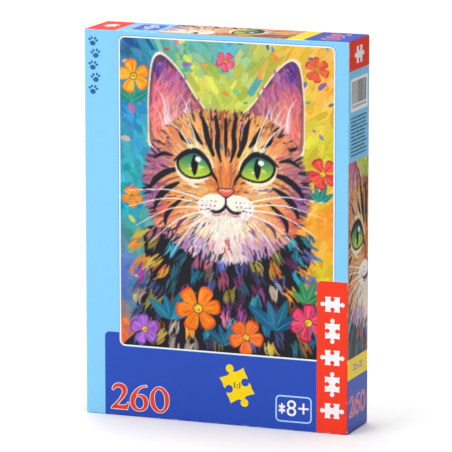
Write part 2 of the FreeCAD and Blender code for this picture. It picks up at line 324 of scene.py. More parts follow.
def empty_material(name: str) -> tuple:
    """A material with only its Principled BSDF, and the steps to build on it."""
    material = bpy.data.materials.new(name)
    material.use_nodes = True
    steps = Nodes(material.node_tree)
    shader = material.node_tree.nodes["Principled BSDF"]
    return material, steps, shader


def bump(steps: Nodes, shader: Node, height: Feed, distance: float, strength: float) -> None:
    """Raise a shader's surface by a height."""
    node = steps.feed(steps.add("ShaderNodeBump"), Strength=strength, Distance=distance, Height=height)
    steps.feed(shader, Normal=node.outputs["Normal"])


def place_of(steps: Nodes) -> NodeSocket:
    """The place on the object that a pattern reads."""
    return steps.add("ShaderNodeTexCoord").outputs["Object"]


@dataclass(frozen=True)
class PrintFinish:
    """Printing ink on the lid's paper, under a gloss varnish."""

    roughness: float = 0.38
    specular: float = 0.18
    ripple: float = 0.10

    def over(self, steps: Nodes, shader: Node, colour: Feed, amount: float = 0.05) -> None:
        """Give a shader this finish in a colour.

        Args:
            steps: the material's steps.
            shader: its Principled BSDF.
            colour: a socket or a plain colour.
            amount: how much the ink is mottled.
        """
        grain = EFFECTS.place(steps, "ink_grain", Where=place_of(steps), Amount=amount)
        steps.feed(shader, Base_Color=tinted(steps, colour, grain.outputs["Tone"]),
                   Roughness=self.roughness, Specular_IOR_Level=self.specular)
        bump(steps, shader, grain.outputs["Height"], 0.00004, self.ripple)

    def plain(self, name: str, colour: Colour) -> Material:
        """A material for one flat ink."""
        material, steps, shader = empty_material(name)
        self.over(steps, shader, linear(colour))
        return material

    def painted(self, name: str, attribute: str) -> Material:
        """A material that takes its colours from a piece's own colour attribute."""
        material, steps, shader = empty_material(name)
        source = steps.add("ShaderNodeVertexColor", layer_name=attribute)
        self.over(steps, shader, source.outputs["Color"], 0.10)
        return material


@dataclass(frozen=True)
class PaperFinish:
    """Uncoated paper, or a gummed paper tape."""

    colour: Colour
    roughness: float = 0.85
    contrast: float = 0.35

    def material(self, name: str) -> Material:
        """Build the material."""
        material, steps, shader = empty_material(name)
        fibre = EFFECTS.place(steps, "board_fibre", Where=place_of(steps),
                              Base=linear(self.colour), Contrast=self.contrast)
        steps.feed(shader, Base_Color=fibre.outputs["Color"], Roughness=self.roughness)
        bump(steps, shader, fibre.outputs["Height"], 0.00005, 0.35)
        return material


PRINT = PrintFinish()
GREYBOARD = PaperFinish((150, 146, 138), 0.9, 1.0)
STAY_TAPE = PaperFinish((196, 156, 106), 0.7, 0.6)
TRAY_PAPER = PaperFinish((236, 238, 240), 0.75, 0.22)


# Shapes

def only(obj: Object) -> None:
    """Make an object the only one that is selected, and the active one."""
    bpy.ops.object.select_all(action="DESELECT")
    obj.select_set(True)
    bpy.context.view_layer.objects.active = obj


def fresh(add: Callable, name: str, **settings) -> Object:
    """A new primitive, made by an operator with its settings."""
    bpy.ops.object.select_all(action="DESELECT")
    add(**settings)
    obj = bpy.context.active_object
    obj.name = name
    return obj


def linked(name: str, data: bpy.types.ID) -> Object:
    """A new object in the scene, with its data."""
    obj = bpy.data.objects.new(name, data)
    bpy.context.scene.collection.objects.link(obj)
    return obj


def settle(obj: Object, matrix: Matrix | None = None) -> None:
    """Put an object's place, and a further one if given, into its mesh."""
    only(obj)
    bpy.ops.object.transform_apply(location=True, rotation=True, scale=True)
    if matrix is not None:
        obj.data.transform(matrix)
        obj.data.update()


@contextmanager
def editing(obj: Object) -> Iterator[None]:
    """Edit mode on one object, all of it selected, and out of it again."""
    only(obj)
    bpy.ops.object.mode_set(mode="EDIT")
    bpy.ops.mesh.select_all(action="SELECT")
    yield
    bpy.ops.object.mode_set(mode="OBJECT")


def close_up(threshold: float) -> None:
    """In edit mode, merge a mesh's doubles and point its faces outwards."""
    bpy.ops.mesh.select_all(action="SELECT")
    bpy.ops.mesh.remove_doubles(threshold=threshold)
    bpy.ops.mesh.normals_make_consistent(inside=False)


def dress(obj: Object, material: Material) -> None:
    """Give an object one material."""
    obj.data.materials.clear()
    obj.data.materials.append(material)


def hand_over(obj: Object, body: str, node: str | None = None) -> None:
    """Let a finished piece ride on its body, in place of a CAD node if it stands for one."""
    if node is not None:
        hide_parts(node)
    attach(obj, body)
    LOG.info("%s: %d faces", obj.name, len(obj.data.polygons))


def join(parts: list[Object]) -> Object:
    """Make one object of several."""
    only(parts[0])
    for part in parts:
        part.select_set(True)
    bpy.ops.object.join()
    return bpy.context.view_layer.objects.active


def plate(name: str, width: float, height: float, radius: float, thickness: float,
          corner: Point | None = None) -> Object:
    """A thin plate about the origin with round corners, facing up, its back at 0.

    Args:
        name: the object's name.
        width: across, in metres.
        height: upwards, in metres.
        radius: of its corners.
        thickness: of the plate.
        corner: the way to the one corner that is round, if only one is.

    Returns:
        The new object.
    """
    obj = fresh(bpy.ops.mesh.primitive_plane_add, name, size=1.0)
    obj.scale = (width, height, 1.0)
    settle(obj)
    with editing(obj):
        if radius > 0.0:
            if corner is not None:
                for vertex in bmesh.from_edit_mesh(obj.data).verts:
                    vertex.select_set(vertex.co.x * corner[0] > 0.0 and vertex.co.y * corner[1] > 0.0)
            bpy.ops.mesh.bevel(offset=radius, offset_pct=0.0, segments=6, affect="VERTICES")
            bpy.ops.mesh.select_all(action="SELECT")
        bpy.ops.mesh.extrude_region_move(TRANSFORM_OT_translate={"value": (0.0, 0.0, thickness)})
        close_up(MERGE)
    return obj


def curve_plate(curve: Object, name: str, thickness: float, grow: float = 0.0) -> Object:
    """Turn a filled flat curve or a text into a thin plate, grown all round if asked.

    Args:
        curve: the curve or text object, in metres.
        name: the plate's name.
        thickness: of the plate, whose back lies at 0.
        grow: how far the outline moves outwards.

    Returns:
        The plate.
    """
    shape = curve.data
    shape.fill_mode = "BOTH"
    shape.bevel_depth = grow
    shape.bevel_resolution = 1
    shape.extrude = thickness / 2.0
    only(curve)
    bpy.ops.object.convert(target="MESH")
    obj = bpy.context.active_object
    obj.name = name
    settle(obj)
    places = places_of(obj.data)
    half = max(places[:, 2].max(), 1e-9)
    places[:, 2] = (places[:, 2] / half * 0.5 + 0.5) * thickness
    move_to(obj.data, places)
    with editing(obj):
        close_up(2.0 * MERGE)
    return obj


@dataclass(frozen=True)
class Outline:
    """A flat shape drawn by its loops: each point is across, up, and whether it is a corner."""

    loops: tuple[tuple[tuple[float, float, bool], ...], ...]

    def curve(self, scale: float = 1.0, shift: Point = (0.0, 0.0)) -> Object:
        """The shape as a filled curve, scaled and then moved."""
        data = bpy.data.curves.new("outline", "CURVE")
        data.dimensions = "2D"
        data.resolution_u = 8
        for loop in self.loops:
            spline = data.splines.new("BEZIER")
            spline.bezier_points.add(len(loop) - 1)
            spline.use_cyclic_u = True
            for point, (across, up, corner) in zip(spline.bezier_points, loop):
                point.co = (across * scale + shift[0], up * scale + shift[1], 0.0)
                point.handle_left_type = point.handle_right_type = "VECTOR" if corner else "AUTO"
        return linked("outline", data)


def oval(x: float, y: float, half_width: float, half_height: float, turn: float = 0.0) -> tuple:
    """A round loop of an outline."""
    loop = []
    for index in range(8):
        angle = index * math.pi / 4.0
        across, up = turned(half_width * math.cos(angle), half_height * math.sin(angle), turn)
        loop.append((x + across, y + up, False))
    return tuple(loop)


# The count's figures, one unit tall, with the stress of a broad pen, and how wide each is.
FIGURES: dict[str, tuple[Outline, float]] = {
    "2": (Outline(((
        (0.03, 0.76, True), (0.13, 0.93, False), (0.34, 1.0, False), (0.56, 0.92, False),
        (0.64, 0.74, False), (0.54, 0.50, False), (0.38, 0.31, False), (0.24, 0.16, True),
        (0.50, 0.16, False), (0.62, 0.20, False), (0.68, 0.29, True), (0.73, 0.27, True),
        (0.66, 0.0, True), (0.0, 0.0, True), (0.0, 0.05, True), (0.24, 0.30, False),
        (0.40, 0.52, False), (0.46, 0.70, False), (0.39, 0.82, False), (0.26, 0.85, False),
        (0.08, 0.72, True)),)), 0.78),
    "6": (Outline(((
        (0.66, 1.0, True), (0.41, 0.93, False), (0.14, 0.70, False), (0.0, 0.36, False),
        (0.09, 0.08, False), (0.36, -0.02, False), (0.63, 0.08, False), (0.73, 0.33, False),
        (0.64, 0.55, False), (0.44, 0.63, False), (0.24, 0.56, True), (0.34, 0.77, False),
        (0.48, 0.89, False), (0.69, 0.95, True)), oval(0.37, 0.31, 0.185, 0.245, 0.12))), 0.82),
    "0": (Outline((oval(0.38, 0.48, 0.385, 0.50), oval(0.38, 0.48, 0.215, 0.41, 0.10))), 0.80),
}


def figures(text: str, size: float) -> list[Object]:
    """Figures of the count as curves in a row about the origin, of a height in metres."""
    x = -sum(FIGURES[figure][1] for figure in text) * size / 2.0
    curves = []
    for figure in text:
        outline, advance = FIGURES[figure]
        curves.append(outline.curve(size, (x, -size / 2.0)))
        x += advance * size
    return curves


def small_figures(text: str, size: float) -> Object:
    """A short row of plain numbers as a text curve about the origin."""
    obj = fresh(bpy.ops.object.text_add, "small_figures")
    obj.data.body = text
    obj.data.size = size
    obj.data.align_x = obj.data.align_y = "CENTER"
    obj.data.resolution_u = 4
    return obj


class PieceSide(Enum):
    """What one side of a jigsaw piece has in its middle, and which way it goes."""

    KNOB = 1.0
    HOLLOW = -1.0


UPRIGHT = (PieceSide.KNOB, PieceSide.HOLLOW, PieceSide.KNOB, PieceSide.HOLLOW)
LYING = (PieceSide.HOLLOW, PieceSide.KNOB, PieceSide.HOLLOW, PieceSide.KNOB)


def jigsaw_outline(side: float, sides: tuple[PieceSide, ...]) -> Outline:
    """The outline of one jigsaw piece about its middle, with sides that dip a little.

    Args:
        side: the square's side.
        sides: the bottom, right, top and left side.

    Returns:
        The outline.
    """
    radius = 0.145 * side
    reach = 0.165 * side
    neck = 0.075 * side
    dip = -0.022 * side
    points: list[tuple[float, float, bool]] = []
    for index, kind in enumerate(sides):
        turn = index * math.pi / 2.0
        sign = kind.value
        local = [(-side / 2.0, 0.0, True), (-side * 0.30, dip, False),
                 (-neck * 1.7, dip * 0.6, False), (-neck * 1.0, sign * neck * 0.8, False)]
        for step in range(7):
            angle = math.radians(-50.0 + step * 280.0 / 6.0)
            local.append((-radius * math.cos(angle), sign * (reach + radius * math.sin(angle)), False))
        local += [(neck * 1.0, sign * neck * 0.8, False), (neck * 1.7, dip * 0.6, False),
                  (side * 0.30, dip, False)]
        for along, out, corner in local:
            points.append((*turned(along, -side / 2.0 - out, turn), corner))
    return Outline((tuple(points),))


def paw(size: float) -> Outline:
    """A paw print: a broad pad and four toes."""
    loops = [oval(0.0, -0.14 * size, 0.30 * size, 0.24 * size)]
    for angle, reach in ((150.0, 0.46), (112.0, 0.50), (68.0, 0.50), (30.0, 0.46)):
        lean = math.radians(angle)
        loops.append(oval(reach * size * math.cos(lean) * 0.95, reach * size * math.sin(lean) * 0.8,
                          0.11 * size, 0.15 * size, lean - math.pi / 2.0))
    return Outline(tuple(loops))


# The painting that is printed on the lid and cut into the puzzle


def smooth_loop(points: list[Point], closed: bool = True, steps: int = 5) -> np.ndarray:
    """A round line through a few points (a Catmull-Rom spline).

    Args:
        points: the points that the line passes through.
        closed: whether the line runs back to its first point.
        steps: how many short runs stand between two points.

    Returns:
        The line's points, one row each.
    """
    knots = np.array(points, dtype=float)
    count = len(knots)
    line = []
    for index in range(count if closed else count - 1):
        near = [knots[(index + shift) % count if closed else min(max(index + shift, 0), count - 1)]
                for shift in (-1, 0, 1, 2)]
        for part in np.linspace(0.0, 1.0, steps, endpoint=False):
            line.append(0.5 * (2.0 * near[1] + (near[2] - near[0]) * part
                               + (2.0 * near[0] - 5.0 * near[1] + 4.0 * near[2] - near[3]) * part ** 2
                               + (3.0 * near[1] - near[0] - 3.0 * near[2] + near[3]) * part ** 3))
    if not closed:
        line.append(knots[-1])
    return np.array(line)


def heading(angle: float) -> tuple[np.ndarray, np.ndarray]:
    """The way that an angle points, and the way square to it."""
    way = np.array([math.cos(angle), math.sin(angle)])
    return way, np.array([-way[1], way[0]])


class ColourField:
    """Colours that run into each other between a few places."""

    SHARPNESS = 3.0
    SOFTNESS = 1.5

    def __init__(self, places: list[tuple[float, float, Colour]]) -> None:
        """Keep the places, each with its colour."""
        self.where = np.array([place[:2] for place in places], dtype=float)
        self.colours = np.array([place[2] for place in places], dtype=float) / 255.0

    def at(self, x: np.ndarray | float, y: np.ndarray | float) -> np.ndarray:
        """The mixed colour at one place, or at many."""
        distance = np.hypot(np.asarray(x)[..., None] - self.where[:, 0],
                            np.asarray(y)[..., None] - self.where[:, 1]) + self.SOFTNESS
        weight = distance ** -self.SHARPNESS
        return weight @ self.colours / weight.sum(axis=-1, keepdims=True)


class Canvas:
    """A sheet that paint is laid on, in millimetres right and down from its top left corner."""

    def __init__(self, width: float, height: float, step: float) -> None:
        """Stretch an empty canvas."""
        self.width = width
        self.height = height
        self.step = step
        self.paint = np.full((round(height / step), round(width / step), 3), 0.5)

    def fill(self, colours: ColourField) -> None:
        """Wash the whole canvas with colours that run into each other."""
        rows, columns = self.paint.shape[:2]
        x, y = np.meshgrid((np.arange(columns) + 0.5) * self.step, (np.arange(rows) + 0.5) * self.step)
        self.paint[:] = colours.at(x, y)

    def window(self, low: np.ndarray, high: np.ndarray) -> tuple:
        """The part of the canvas between two corners.

        Returns:
            Its slices, and the places of its cells right and down, or None where it is empty.
        """
        rows, columns = self.paint.shape[:2]
        left = max(int(low[0] / self.step) - 1, 0)
        right = min(int(high[0] / self.step) + 2, columns)
        top = max(int(low[1] / self.step) - 1, 0)
        bottom = min(int(high[1] / self.step) + 2, rows)
        if left >= right or top >= bottom:
            return None
        x = (np.arange(left, right) + 0.5) * self.step
        y = (np.arange(top, bottom) + 0.5) * self.step
        return (slice(top, bottom), slice(left, right)), x[None, :], y[:, None]

    def lay(self, part: tuple, cover: np.ndarray, colour: np.ndarray) -> None:
        """Lay paint over part of the canvas, as thick as cover says."""
        old = self.paint[part]
        self.paint[part] = old + cover[..., None] * (colour - old)

    def stroke(self, points: list[Point], widths: list[float], colour: Paint, alpha: float = 1.0,
               streaks: float = 0.0, phase: float = 0.0) -> None:
        """A brush stroke along a line, whose width changes from point to point.

        Args:
            points: the line's points.
            widths: the stroke's width at each point.
            colour: its colour, 0 to 255 each.
            alpha: how well it covers.
            streaks: how much the bristles vary its lightness.
            phase: where the bristle marks lie.
        """
        line = np.asarray(points, dtype=float)
        radii = np.asarray(widths, dtype=float) / 2.0
        reach = radii.max() + self.step
        found = self.window(line.min(axis=0) - reach, line.max(axis=0) + reach)
        if found is None:
            return
        part, x, y = found
        cover = np.zeros((y.shape[0], x.shape[1]))
        across = np.zeros_like(cover)
        for start, end, first, last in zip(line[:-1], line[1:], radii[:-1], radii[1:]):
            way = end - start
            length = float(way @ way) + 1e-9
            share = np.clip(((x - start[0]) * way[0] + (y - start[1]) * way[1]) / length, 0.0, 1.0)
            off_x = x - start[0] - share * way[0]
            off_y = y - start[1] - share * way[1]
            distance = np.hypot(off_x, off_y)
            thick = np.clip((first + (last - first) * share - distance) / self.step + 0.5, 0.0, 1.0)
            nearer = thick > cover
            cover = np.where(nearer, thick, cover)
            side = (off_x * way[1] - off_y * way[0]) / math.sqrt(length)
            across = np.where(nearer, side, across)
        tone = np.asarray(colour, dtype=float) / 255.0
        shade = 1.0 + streaks * np.sin(across * 3.1 + phase) + 0.5 * streaks * np.sin(
            across * 5.3 + 3.0 * phase)
        self.lay(part, cover * alpha, np.clip(tone * shade[..., None], 0.0, 1.0))

    def patch(self, points: list[Point], colour: Paint, alpha: float = 1.0, rounded: bool = True,
              towards: Colour | None = None) -> None:
        """A filled shape, in one colour or running into a second one.

        Args:
            points: the shape's outline.
            colour: its colour, 0 to 255 each.
            alpha: how well it covers.
            rounded: whether the outline is a round line through its points.
            towards: the colour that it runs into downwards, if any.
        """
        line = smooth_loop(points) if rounded else np.array(points, dtype=float)
        found = self.window(line.min(axis=0), line.max(axis=0))
        if found is None:
            return
        part, x, y = found
        cover = np.zeros((y.shape[0], x.shape[1]))
        nudges = (-0.25 * self.step, 0.25 * self.step)
        ends = list(zip(line, np.roll(line, -1, axis=0)))
        for nudge_x in nudges:
            for nudge_y in nudges:
                inside = np.zeros(cover.shape, dtype=bool)
                for start, end in ends:
                    if start[1] == end[1]:
                        continue
                    level = y + nudge_y
                    crosses = (start[1] > level) != (end[1] > level)
                    meets = start[0] + (level - start[1]) * (end[0] - start[0]) / (end[1] - start[1])
                    inside ^= crosses & (x + nudge_x < meets)
                cover += 0.25 * inside
        tone = np.asarray(colour, dtype=float) / 255.0
        if towards is not None:
            low, high = line[:, 1].min(), line[:, 1].max()
            share = np.clip((y - low) / (high - low), 0.0, 1.0)
            share = np.broadcast_to(share, cover.shape)[..., None]
            tone = tone + share * (np.asarray(towards, dtype=float) / 255.0 - tone)
        self.lay(part, cover * alpha, np.broadcast_to(tone, cover.shape + (3,)))

    def disc(self, x: float, y: float, radius_x: float, radius_y: float, colour: Paint,
             alpha: float = 1.0, turn: float = 0.0, towards: Colour | None = None) -> None:
        """An oval patch about a point, turned by an angle in radians."""
        points = []
        for angle in np.linspace(0.0, 2.0 * math.pi, 20, endpoint=False):
            off = turned(radius_x * math.cos(angle), radius_y * math.sin(angle), turn)
            points.append((x + off[0], y + off[1]))
        self.patch(points, colour, alpha, rounded=False, towards=towards)

    def sample(self, x: np.ndarray, y: np.ndarray) -> np.ndarray:
        """The colours at places on the canvas, read between its cells."""
        return between(self.paint, y / self.step - 0.5, x / self.step - 0.5)


@dataclass
class CatPainting:
    """A calm tabby cat among blossoms, painted in bright strokes on its canvas.

    The face is a plain symmetrical one: its places are given from its middle, in shares of its
    half width, and the right half mirrors the left.
    """

    width: float = 141.0
    height: float = 194.7
    step: float = 0.3
    seed: int = 7
    middle_x: float = 70.5
    middle_y: float = 88.0
    half: float = 52.0
    canvas: Canvas = field(init=False)
    chance: random.Random = field(init=False)

    INK = (24, 22, 36)
    CREAM = (254, 240, 206)
    HEAD = ((0.0, -0.80), (0.30, -0.80), (0.58, -0.70), (0.82, -0.48), (0.96, -0.18),
            (1.00, 0.12), (0.90, 0.42), (0.66, 0.68), (0.36, 0.84), (0.0, 0.90))
    EAR = ((0.24, -0.76), (0.42, -1.06), (0.60, -1.32), (0.80, -1.50), (0.92, -1.44),
           (0.97, -1.14), (0.98, -0.80), (0.94, -0.40), (0.62, -0.56))

    def __post_init__(self) -> None:
        """Stretch the canvas and seed the hand."""
        self.canvas = Canvas(self.width, self.height, self.step)
        self.chance = random.Random(self.seed)

    def paint(self) -> Canvas:
        """Paint the whole picture, from the ground to the whiskers.

        Returns:
            The finished canvas.
        """
        self.ground()
        self.chest()
        self.blossoms()
        for side in SIDES:
            self.ear(side)
        self.head()
        for side in SIDES:
            self.stripes(side)
            self.eye(side)
        self.muzzle()
        for side in SIDES:
            self.whiskers(side)
        return self.canvas

    # Small helpers

    def on_face(self, across: float, down: float, side: float = 1.0) -> Point:
        """A place on the canvas from one on the face, in shares of its half width."""
        return (self.middle_x + side * across * self.half, self.middle_y + down * self.half)

    def spread(self, places: list[Point], side: float = 1.0) -> list[Point]:
        """Many places on the canvas from places on the face."""
        return [self.on_face(across, down, side) for across, down in places]

    def tones(self, places: list[tuple[float, float, Colour]], sides: tuple[float, ...]) -> ColourField:
        """Colours that run into each other over the face, on one side or on both."""
        return ColourField([(*self.on_face(across, down, side), colour)
                            for across, down, colour in places for side in sides])

    def ray(self, middle: Point, turn: float, start: Point, end: Point, widths: list[float],
            colour: Paint, alpha: float) -> None:
        """A straight stroke away from a middle, between two distances right and down."""
        self.canvas.stroke([(middle[0] + reach[0] * math.cos(turn), middle[1] + reach[1] * math.sin(turn))
                            for reach in (start, end)], widths, colour, alpha)

    def roll(self, low: float, high: float) -> float:
        """A chance number between two."""
        return self.chance.uniform(low, high)

    def sway(self, most: float) -> float:
        """A chance number as likely below 0 as above it."""
        return self.chance.uniform(-most, most)

    def vary(self, colour: Paint, amount: float) -> list[float]:
        """A colour shifted a little, all of it lighter or darker and each part by itself."""
        light = self.sway(amount)
        return [max(0.0, min(255.0, part + light + self.sway(amount) * 0.5)) for part in colour]

    def dab(self, x: float, y: float, angle: float, length: float, width: float, colour: Paint,
            alpha: float = 0.95, bend: float = 0.10) -> None:
        """One short stroke of the brush about a point, a little bent, thinner at its end."""
        way, side = heading(angle)
        side = side * bend * length * self.sway(1.0)
        middle = np.array([x, y])
        points = [middle - way * length / 2.0, middle - way * length / 6.0 + side * 0.9,
                  middle + way * length / 6.0 + side * 0.9, middle + way * length / 2.0]
        self.canvas.stroke(points, [width * 0.6, width, width * 0.9, width * 0.2], colour, alpha,
                           0.04, self.roll(0.0, 6.3))

    def knife(self, x: float, y: float, angle: float, length: float, width: float, colour: Paint) -> None:
        """One flat smear of the palette knife, with straight sides and torn ends."""
        way, side = heading(angle)
        middle = np.array([x, y])
        loop = []
        for end, edge in ((-1.0, -1.0), (1.0, -1.0), (1.2, -0.2), (0.9, 0.4), (1.05, 1.0),
                          (-1.0, 1.0), (-1.25, 0.3)):
            reach = end * length / 2.0 * self.roll(0.85, 1.1)
            loop.append(tuple(middle + way * reach + side * edge * width / 2.0 * self.roll(0.8, 1.1)))
        self.canvas.patch(loop, colour, self.roll(0.7, 0.95), rounded=False)

    def line(self, places: list[Point], widths: list[float], colour: Paint, side: float = 1.0,
             alpha: float = 0.97) -> None:
        """A round line through places on the face, whose width changes along it."""
        round_line = smooth_loop(self.spread(places, side), closed=False)
        thick = np.interp(np.linspace(0, 1, len(round_line)), np.linspace(0, 1, len(widths)), widths)
        self.canvas.stroke(round_line, thick, colour, alpha, 0.04, self.roll(0, 6.3))

    def shape(self, places: list[Point], colour: Paint, towards: Paint | None = None, side: float = 1.0,
              alpha: float = 1.0) -> None:
        """A filled round shape through places on the face."""
        self.canvas.patch(self.spread(places, side), colour, alpha, towards=towards)

    def spot(self, across: float, down: float, radius: Point, colour: Paint, side: float = 1.0,
             alpha: float = 1.0, turn: float = 0.0, towards: Paint | None = None) -> None:
        """An oval on the face, with its radii in shares of the half width."""
        x, y = self.on_face(across, down, side)
        self.canvas.disc(x, y, radius[0] * self.half, radius[1] * self.half, colour, alpha,
                         turn * side, towards)

    @staticmethod
    def inside(loop: np.ndarray, x: float, y: float) -> bool:
        """Whether a place is inside a closed line."""
        start, end = loop, np.roll(loop, -1, axis=0)
        crosses = (start[:, 1] > y) != (end[:, 1] > y)
        run = np.where(end[:, 1] == start[:, 1], 1.0, end[:, 1] - start[:, 1])
        meets = start[:, 0] + (y - start[:, 1]) * (end[:, 0] - start[:, 0]) / run
        return bool(np.count_nonzero(crosses & (x < meets)) % 2)

    # Round the cat

    def ground(self) -> None:
        """Broad strokes: blue and teal on the left, turquoise above, yellow on the right."""
        wash = ColourField([
            (0, 0, (40, 92, 150)), (0, 50, (36, 140, 196)), (0, 100, (24, 164, 186)),
            (0, 150, (90, 120, 200)), (0, 190, (236, 112, 56)), (25, 20, (44, 150, 186)),
            (25, 70, (56, 168, 196)), (50, 0, (100, 184, 172)), (50, 25, (222, 216, 72)),
            (72, 8, (84, 176, 196)), (75, 34, (206, 210, 80)), (95, 12, (190, 196, 80)),
            (115, 0, (246, 190, 70)), (120, 40, (240, 204, 66)), (141, 20, (250, 180, 70)),
            (141, 70, (214, 208, 50)), (141, 110, (250, 156, 44)), (141, 150, (224, 206, 40)),
            (120, 120, (240, 170, 50)), (30, 130, (110, 170, 120)), (20, 170, (60, 130, 180))])
        self.canvas.fill(wash)
        for size, count in ((9.0, 300), (6.0, 460), (3.4, 420)):
            for _ in range(count):
                x = self.roll(-3.0, self.width + 3.0)
                y = self.roll(-3.0, self.height + 3.0)
                slant = 1.0 if x < self.middle_x else -0.9
                angle = slant + self.sway(0.45)
                if self.chance.random() < 0.2:
                    angle = math.pi / 2.0
                colour = self.vary(wash.at(x, y) * 255.0, 20.0)
                self.dab(x, y, angle, size * self.roll(1.4, 2.4), size * self.roll(0.5, 0.95), colour, 0.85)
        for _ in range(420):
            x = self.roll(0.0, self.width)
            y = self.roll(0.0, self.height)
            near = wash.at(x + self.sway(16.0), y + self.sway(16.0))
            self.knife(x, y, (1.0 if x < self.middle_x else -0.9) + self.sway(0.3),
                       self.roll(4.0, 13.0), self.roll(2.5, 6.0), self.vary(near * 255.0, 26.0))
        accents = [(128, 92, 200), (236, 92, 150), (250, 140, 60), (30, 150, 190),
                   (240, 220, 80), (90, 190, 130), (224, 70, 70), (60, 90, 190), (250, 200, 170)]
        for _ in range(130):
            size = self.roll(1.0, 3.4)
            self.dab(self.roll(0.0, self.width), self.roll(0.0, self.height), self.roll(0.0, 3.2),
                     size * 1.8, size, self.vary(self.chance.choice(accents), 14.0), 0.8)

    def chest(self) -> None:
        """The chest and shoulders: almost black, with tufts of bright fur over them."""
        outline = [(26, 116), (16, 132), (20, 150), (11, 166), (13, 182), (8, 202), (136, 202),
                   (130, 180), (132, 164), (122, 148), (126, 132), (116, 116)]
        self.canvas.patch(outline, (24, 24, 34), 1.0)
        shades = [((244, 108, 40), (250, 180, 60)), ((24, 124, 176), (60, 180, 200)),
                  ((224, 70, 130), (244, 140, 170)), ((70, 84, 170), (120, 130, 220)),
                  ((250, 190, 50), (240, 224, 100)), ((20, 90, 130), (34, 130, 160)),
                  ((110, 40, 90), (190, 80, 180)), ((150, 130, 120), (220, 200, 180))]
        for row in range(9):
            for column in range(11):
                x = 14.0 + column * 11.3 + self.sway(4.0)
                y = 122.0 + row * 8.6 + self.sway(3.0)
                deep, bright = self.chance.choice(shades)
                self.tuft(x, y, deep, bright, self.roll(0.35, 1.0))

    def tuft(self, x: float, y: float, deep: Colour, bright: Colour, light: float) -> None:
        """A handful of hairs that stream down and away from the chin.

        Args:
            x: where the tuft is, right.
            y: where it is, down.
            deep: the colour of its shaded hairs.
            bright: the colour of its lit hairs.
            light: how strong the colours are.
        """
        away = math.atan2(y - 70.0, x - self.middle_x) + self.sway(0.25)
        for hair in range(9):
            share = hair / 8.0
            colour = [(a + (b - a) * share) * light + (1.0 - light) * 26.0 for a, b in zip(deep, bright)]
            turn = away + self.sway(0.35)
            self.dab(x + self.sway(3.4), y + self.sway(3.0), turn, self.roll(5.0, 11.0),
                     self.roll(0.7, 2.0), self.vary(colour, 14.0), 0.92, 0.16)

    def blossoms(self) -> None:
        """Open flowers and leaves round the cat."""
        for x, y, reach, colour in ((34, 176, 20, (24, 108, 138)), (104, 178, 22, (22, 96, 130)),
                                    (124, 160, 15, (60, 140, 90)), (8, 40, 14, (30, 130, 110)),
                                    (132, 96, 13, (40, 140, 120)), (70, 190, 16, (20, 90, 120))):
            for lean in (-0.9, -0.3, 0.35, 1.0):
                self.leaf(x, y, -math.pi / 2.0 + lean, reach * self.roll(0.8, 1.1), colour)
        for x, y, radius, petals, colour, edge in (
                (52, 168, 15.0, 6, (252, 134, 20), (228, 84, 20)),
                (84, 184, 11.5, 5, (250, 120, 40), (220, 70, 30)),
                (125, 172, 12.5, 6, (240, 66, 108), (150, 24, 70)),
                (9, 24, 11.0, 5, (252, 170, 36), (236, 110, 24)),
                (134, 78, 10.0, 5, (244, 80, 66), (170, 30, 60)),
                (16, 184, 10.0, 5, (176, 100, 210), (110, 60, 160)),
                (70, 12, 6.5, 5, (244, 90, 120), (190, 50, 90)),
                (130, 14, 8.0, 6, (236, 96, 60), (190, 50, 40)),
                (8, 100, 7.0, 5, (252, 150, 40), (226, 90, 30))):
            self.blossom(x, y, radius, petals, colour, edge)

    def blossom(self, x: float, y: float, radius: float, petals: int, colour: Colour, edge: Colour) -> None:
        """One flower with round petals and a yellow middle."""
        first = self.roll(0.0, 2.0 * math.pi)
        for index in range(petals):
            turn = first + index * 2.0 * math.pi / petals + self.sway(0.12)
            breadth = math.pi / petals * 1.12
            for share, paint in ((1.0, edge), (0.90, colour)):
                loop = [(x + radius * share * reach * math.cos(turn + breadth * swing),
                         y + radius * share * reach * math.sin(turn + breadth * swing)) for reach,
                        swing in ((0.12, 0.0), (0.62, -0.78), (0.95, -0.52), (1.0, 0.0), (0.95, 0.52),
                                  (0.62, 0.78))]
                self.canvas.patch(loop, self.vary(paint, 8.0), 1.0)
            for _ in range(7):
                swing = turn + self.sway(0.6) * breadth
                start, end = self.roll(0.2, 0.4), self.roll(0.6, 0.86)
                shade = self.chance.choice([edge, [min(255, part + 40) for part in colour]])
                near, far = radius * start, radius * end
                self.ray((x, y), swing, (near, near), (far, far), [0.4, radius * 0.07], shade, 0.55)
        self.canvas.disc(x, y, radius * 0.22, radius * 0.22, (120, 60, 20), 1.0)
        self.canvas.disc(x, y, radius * 0.18, radius * 0.17, (250, 214, 60), 1.0)
        for _ in range(6):
            self.canvas.disc(x + self.sway(0.12) * radius, y + self.sway(0.12) * radius, 0.4,
                             0.4, (150, 80, 20), 0.9)

    def leaf(self, x: float, y: float, angle: float, length: float, colour: Colour) -> None:
        """One pointed leaf with its rib."""
        way, side = heading(angle)
        root = np.array([x, y])
        loop = [root, root + way * length * 0.4 + side * length * 0.17, root + way * length,
                root + way * length * 0.4 - side * length * 0.17]
        self.canvas.patch([tuple(point) for point in loop], self.vary(colour, 18.0), 1.0)
        self.canvas.stroke([root, root + way * length * 0.85], [0.7, 0.3],
                           [min(255.0, part + 60.0) for part in colour], 0.8)

    # The cat

    def grown_ear(self, grow: float) -> list[Point]:
        """The ear's outline, grown about its middle."""
        outline = np.array(self.EAR)
        middle = outline.mean(axis=0)
        return [tuple(point) for point in middle + (outline - middle) * grow]

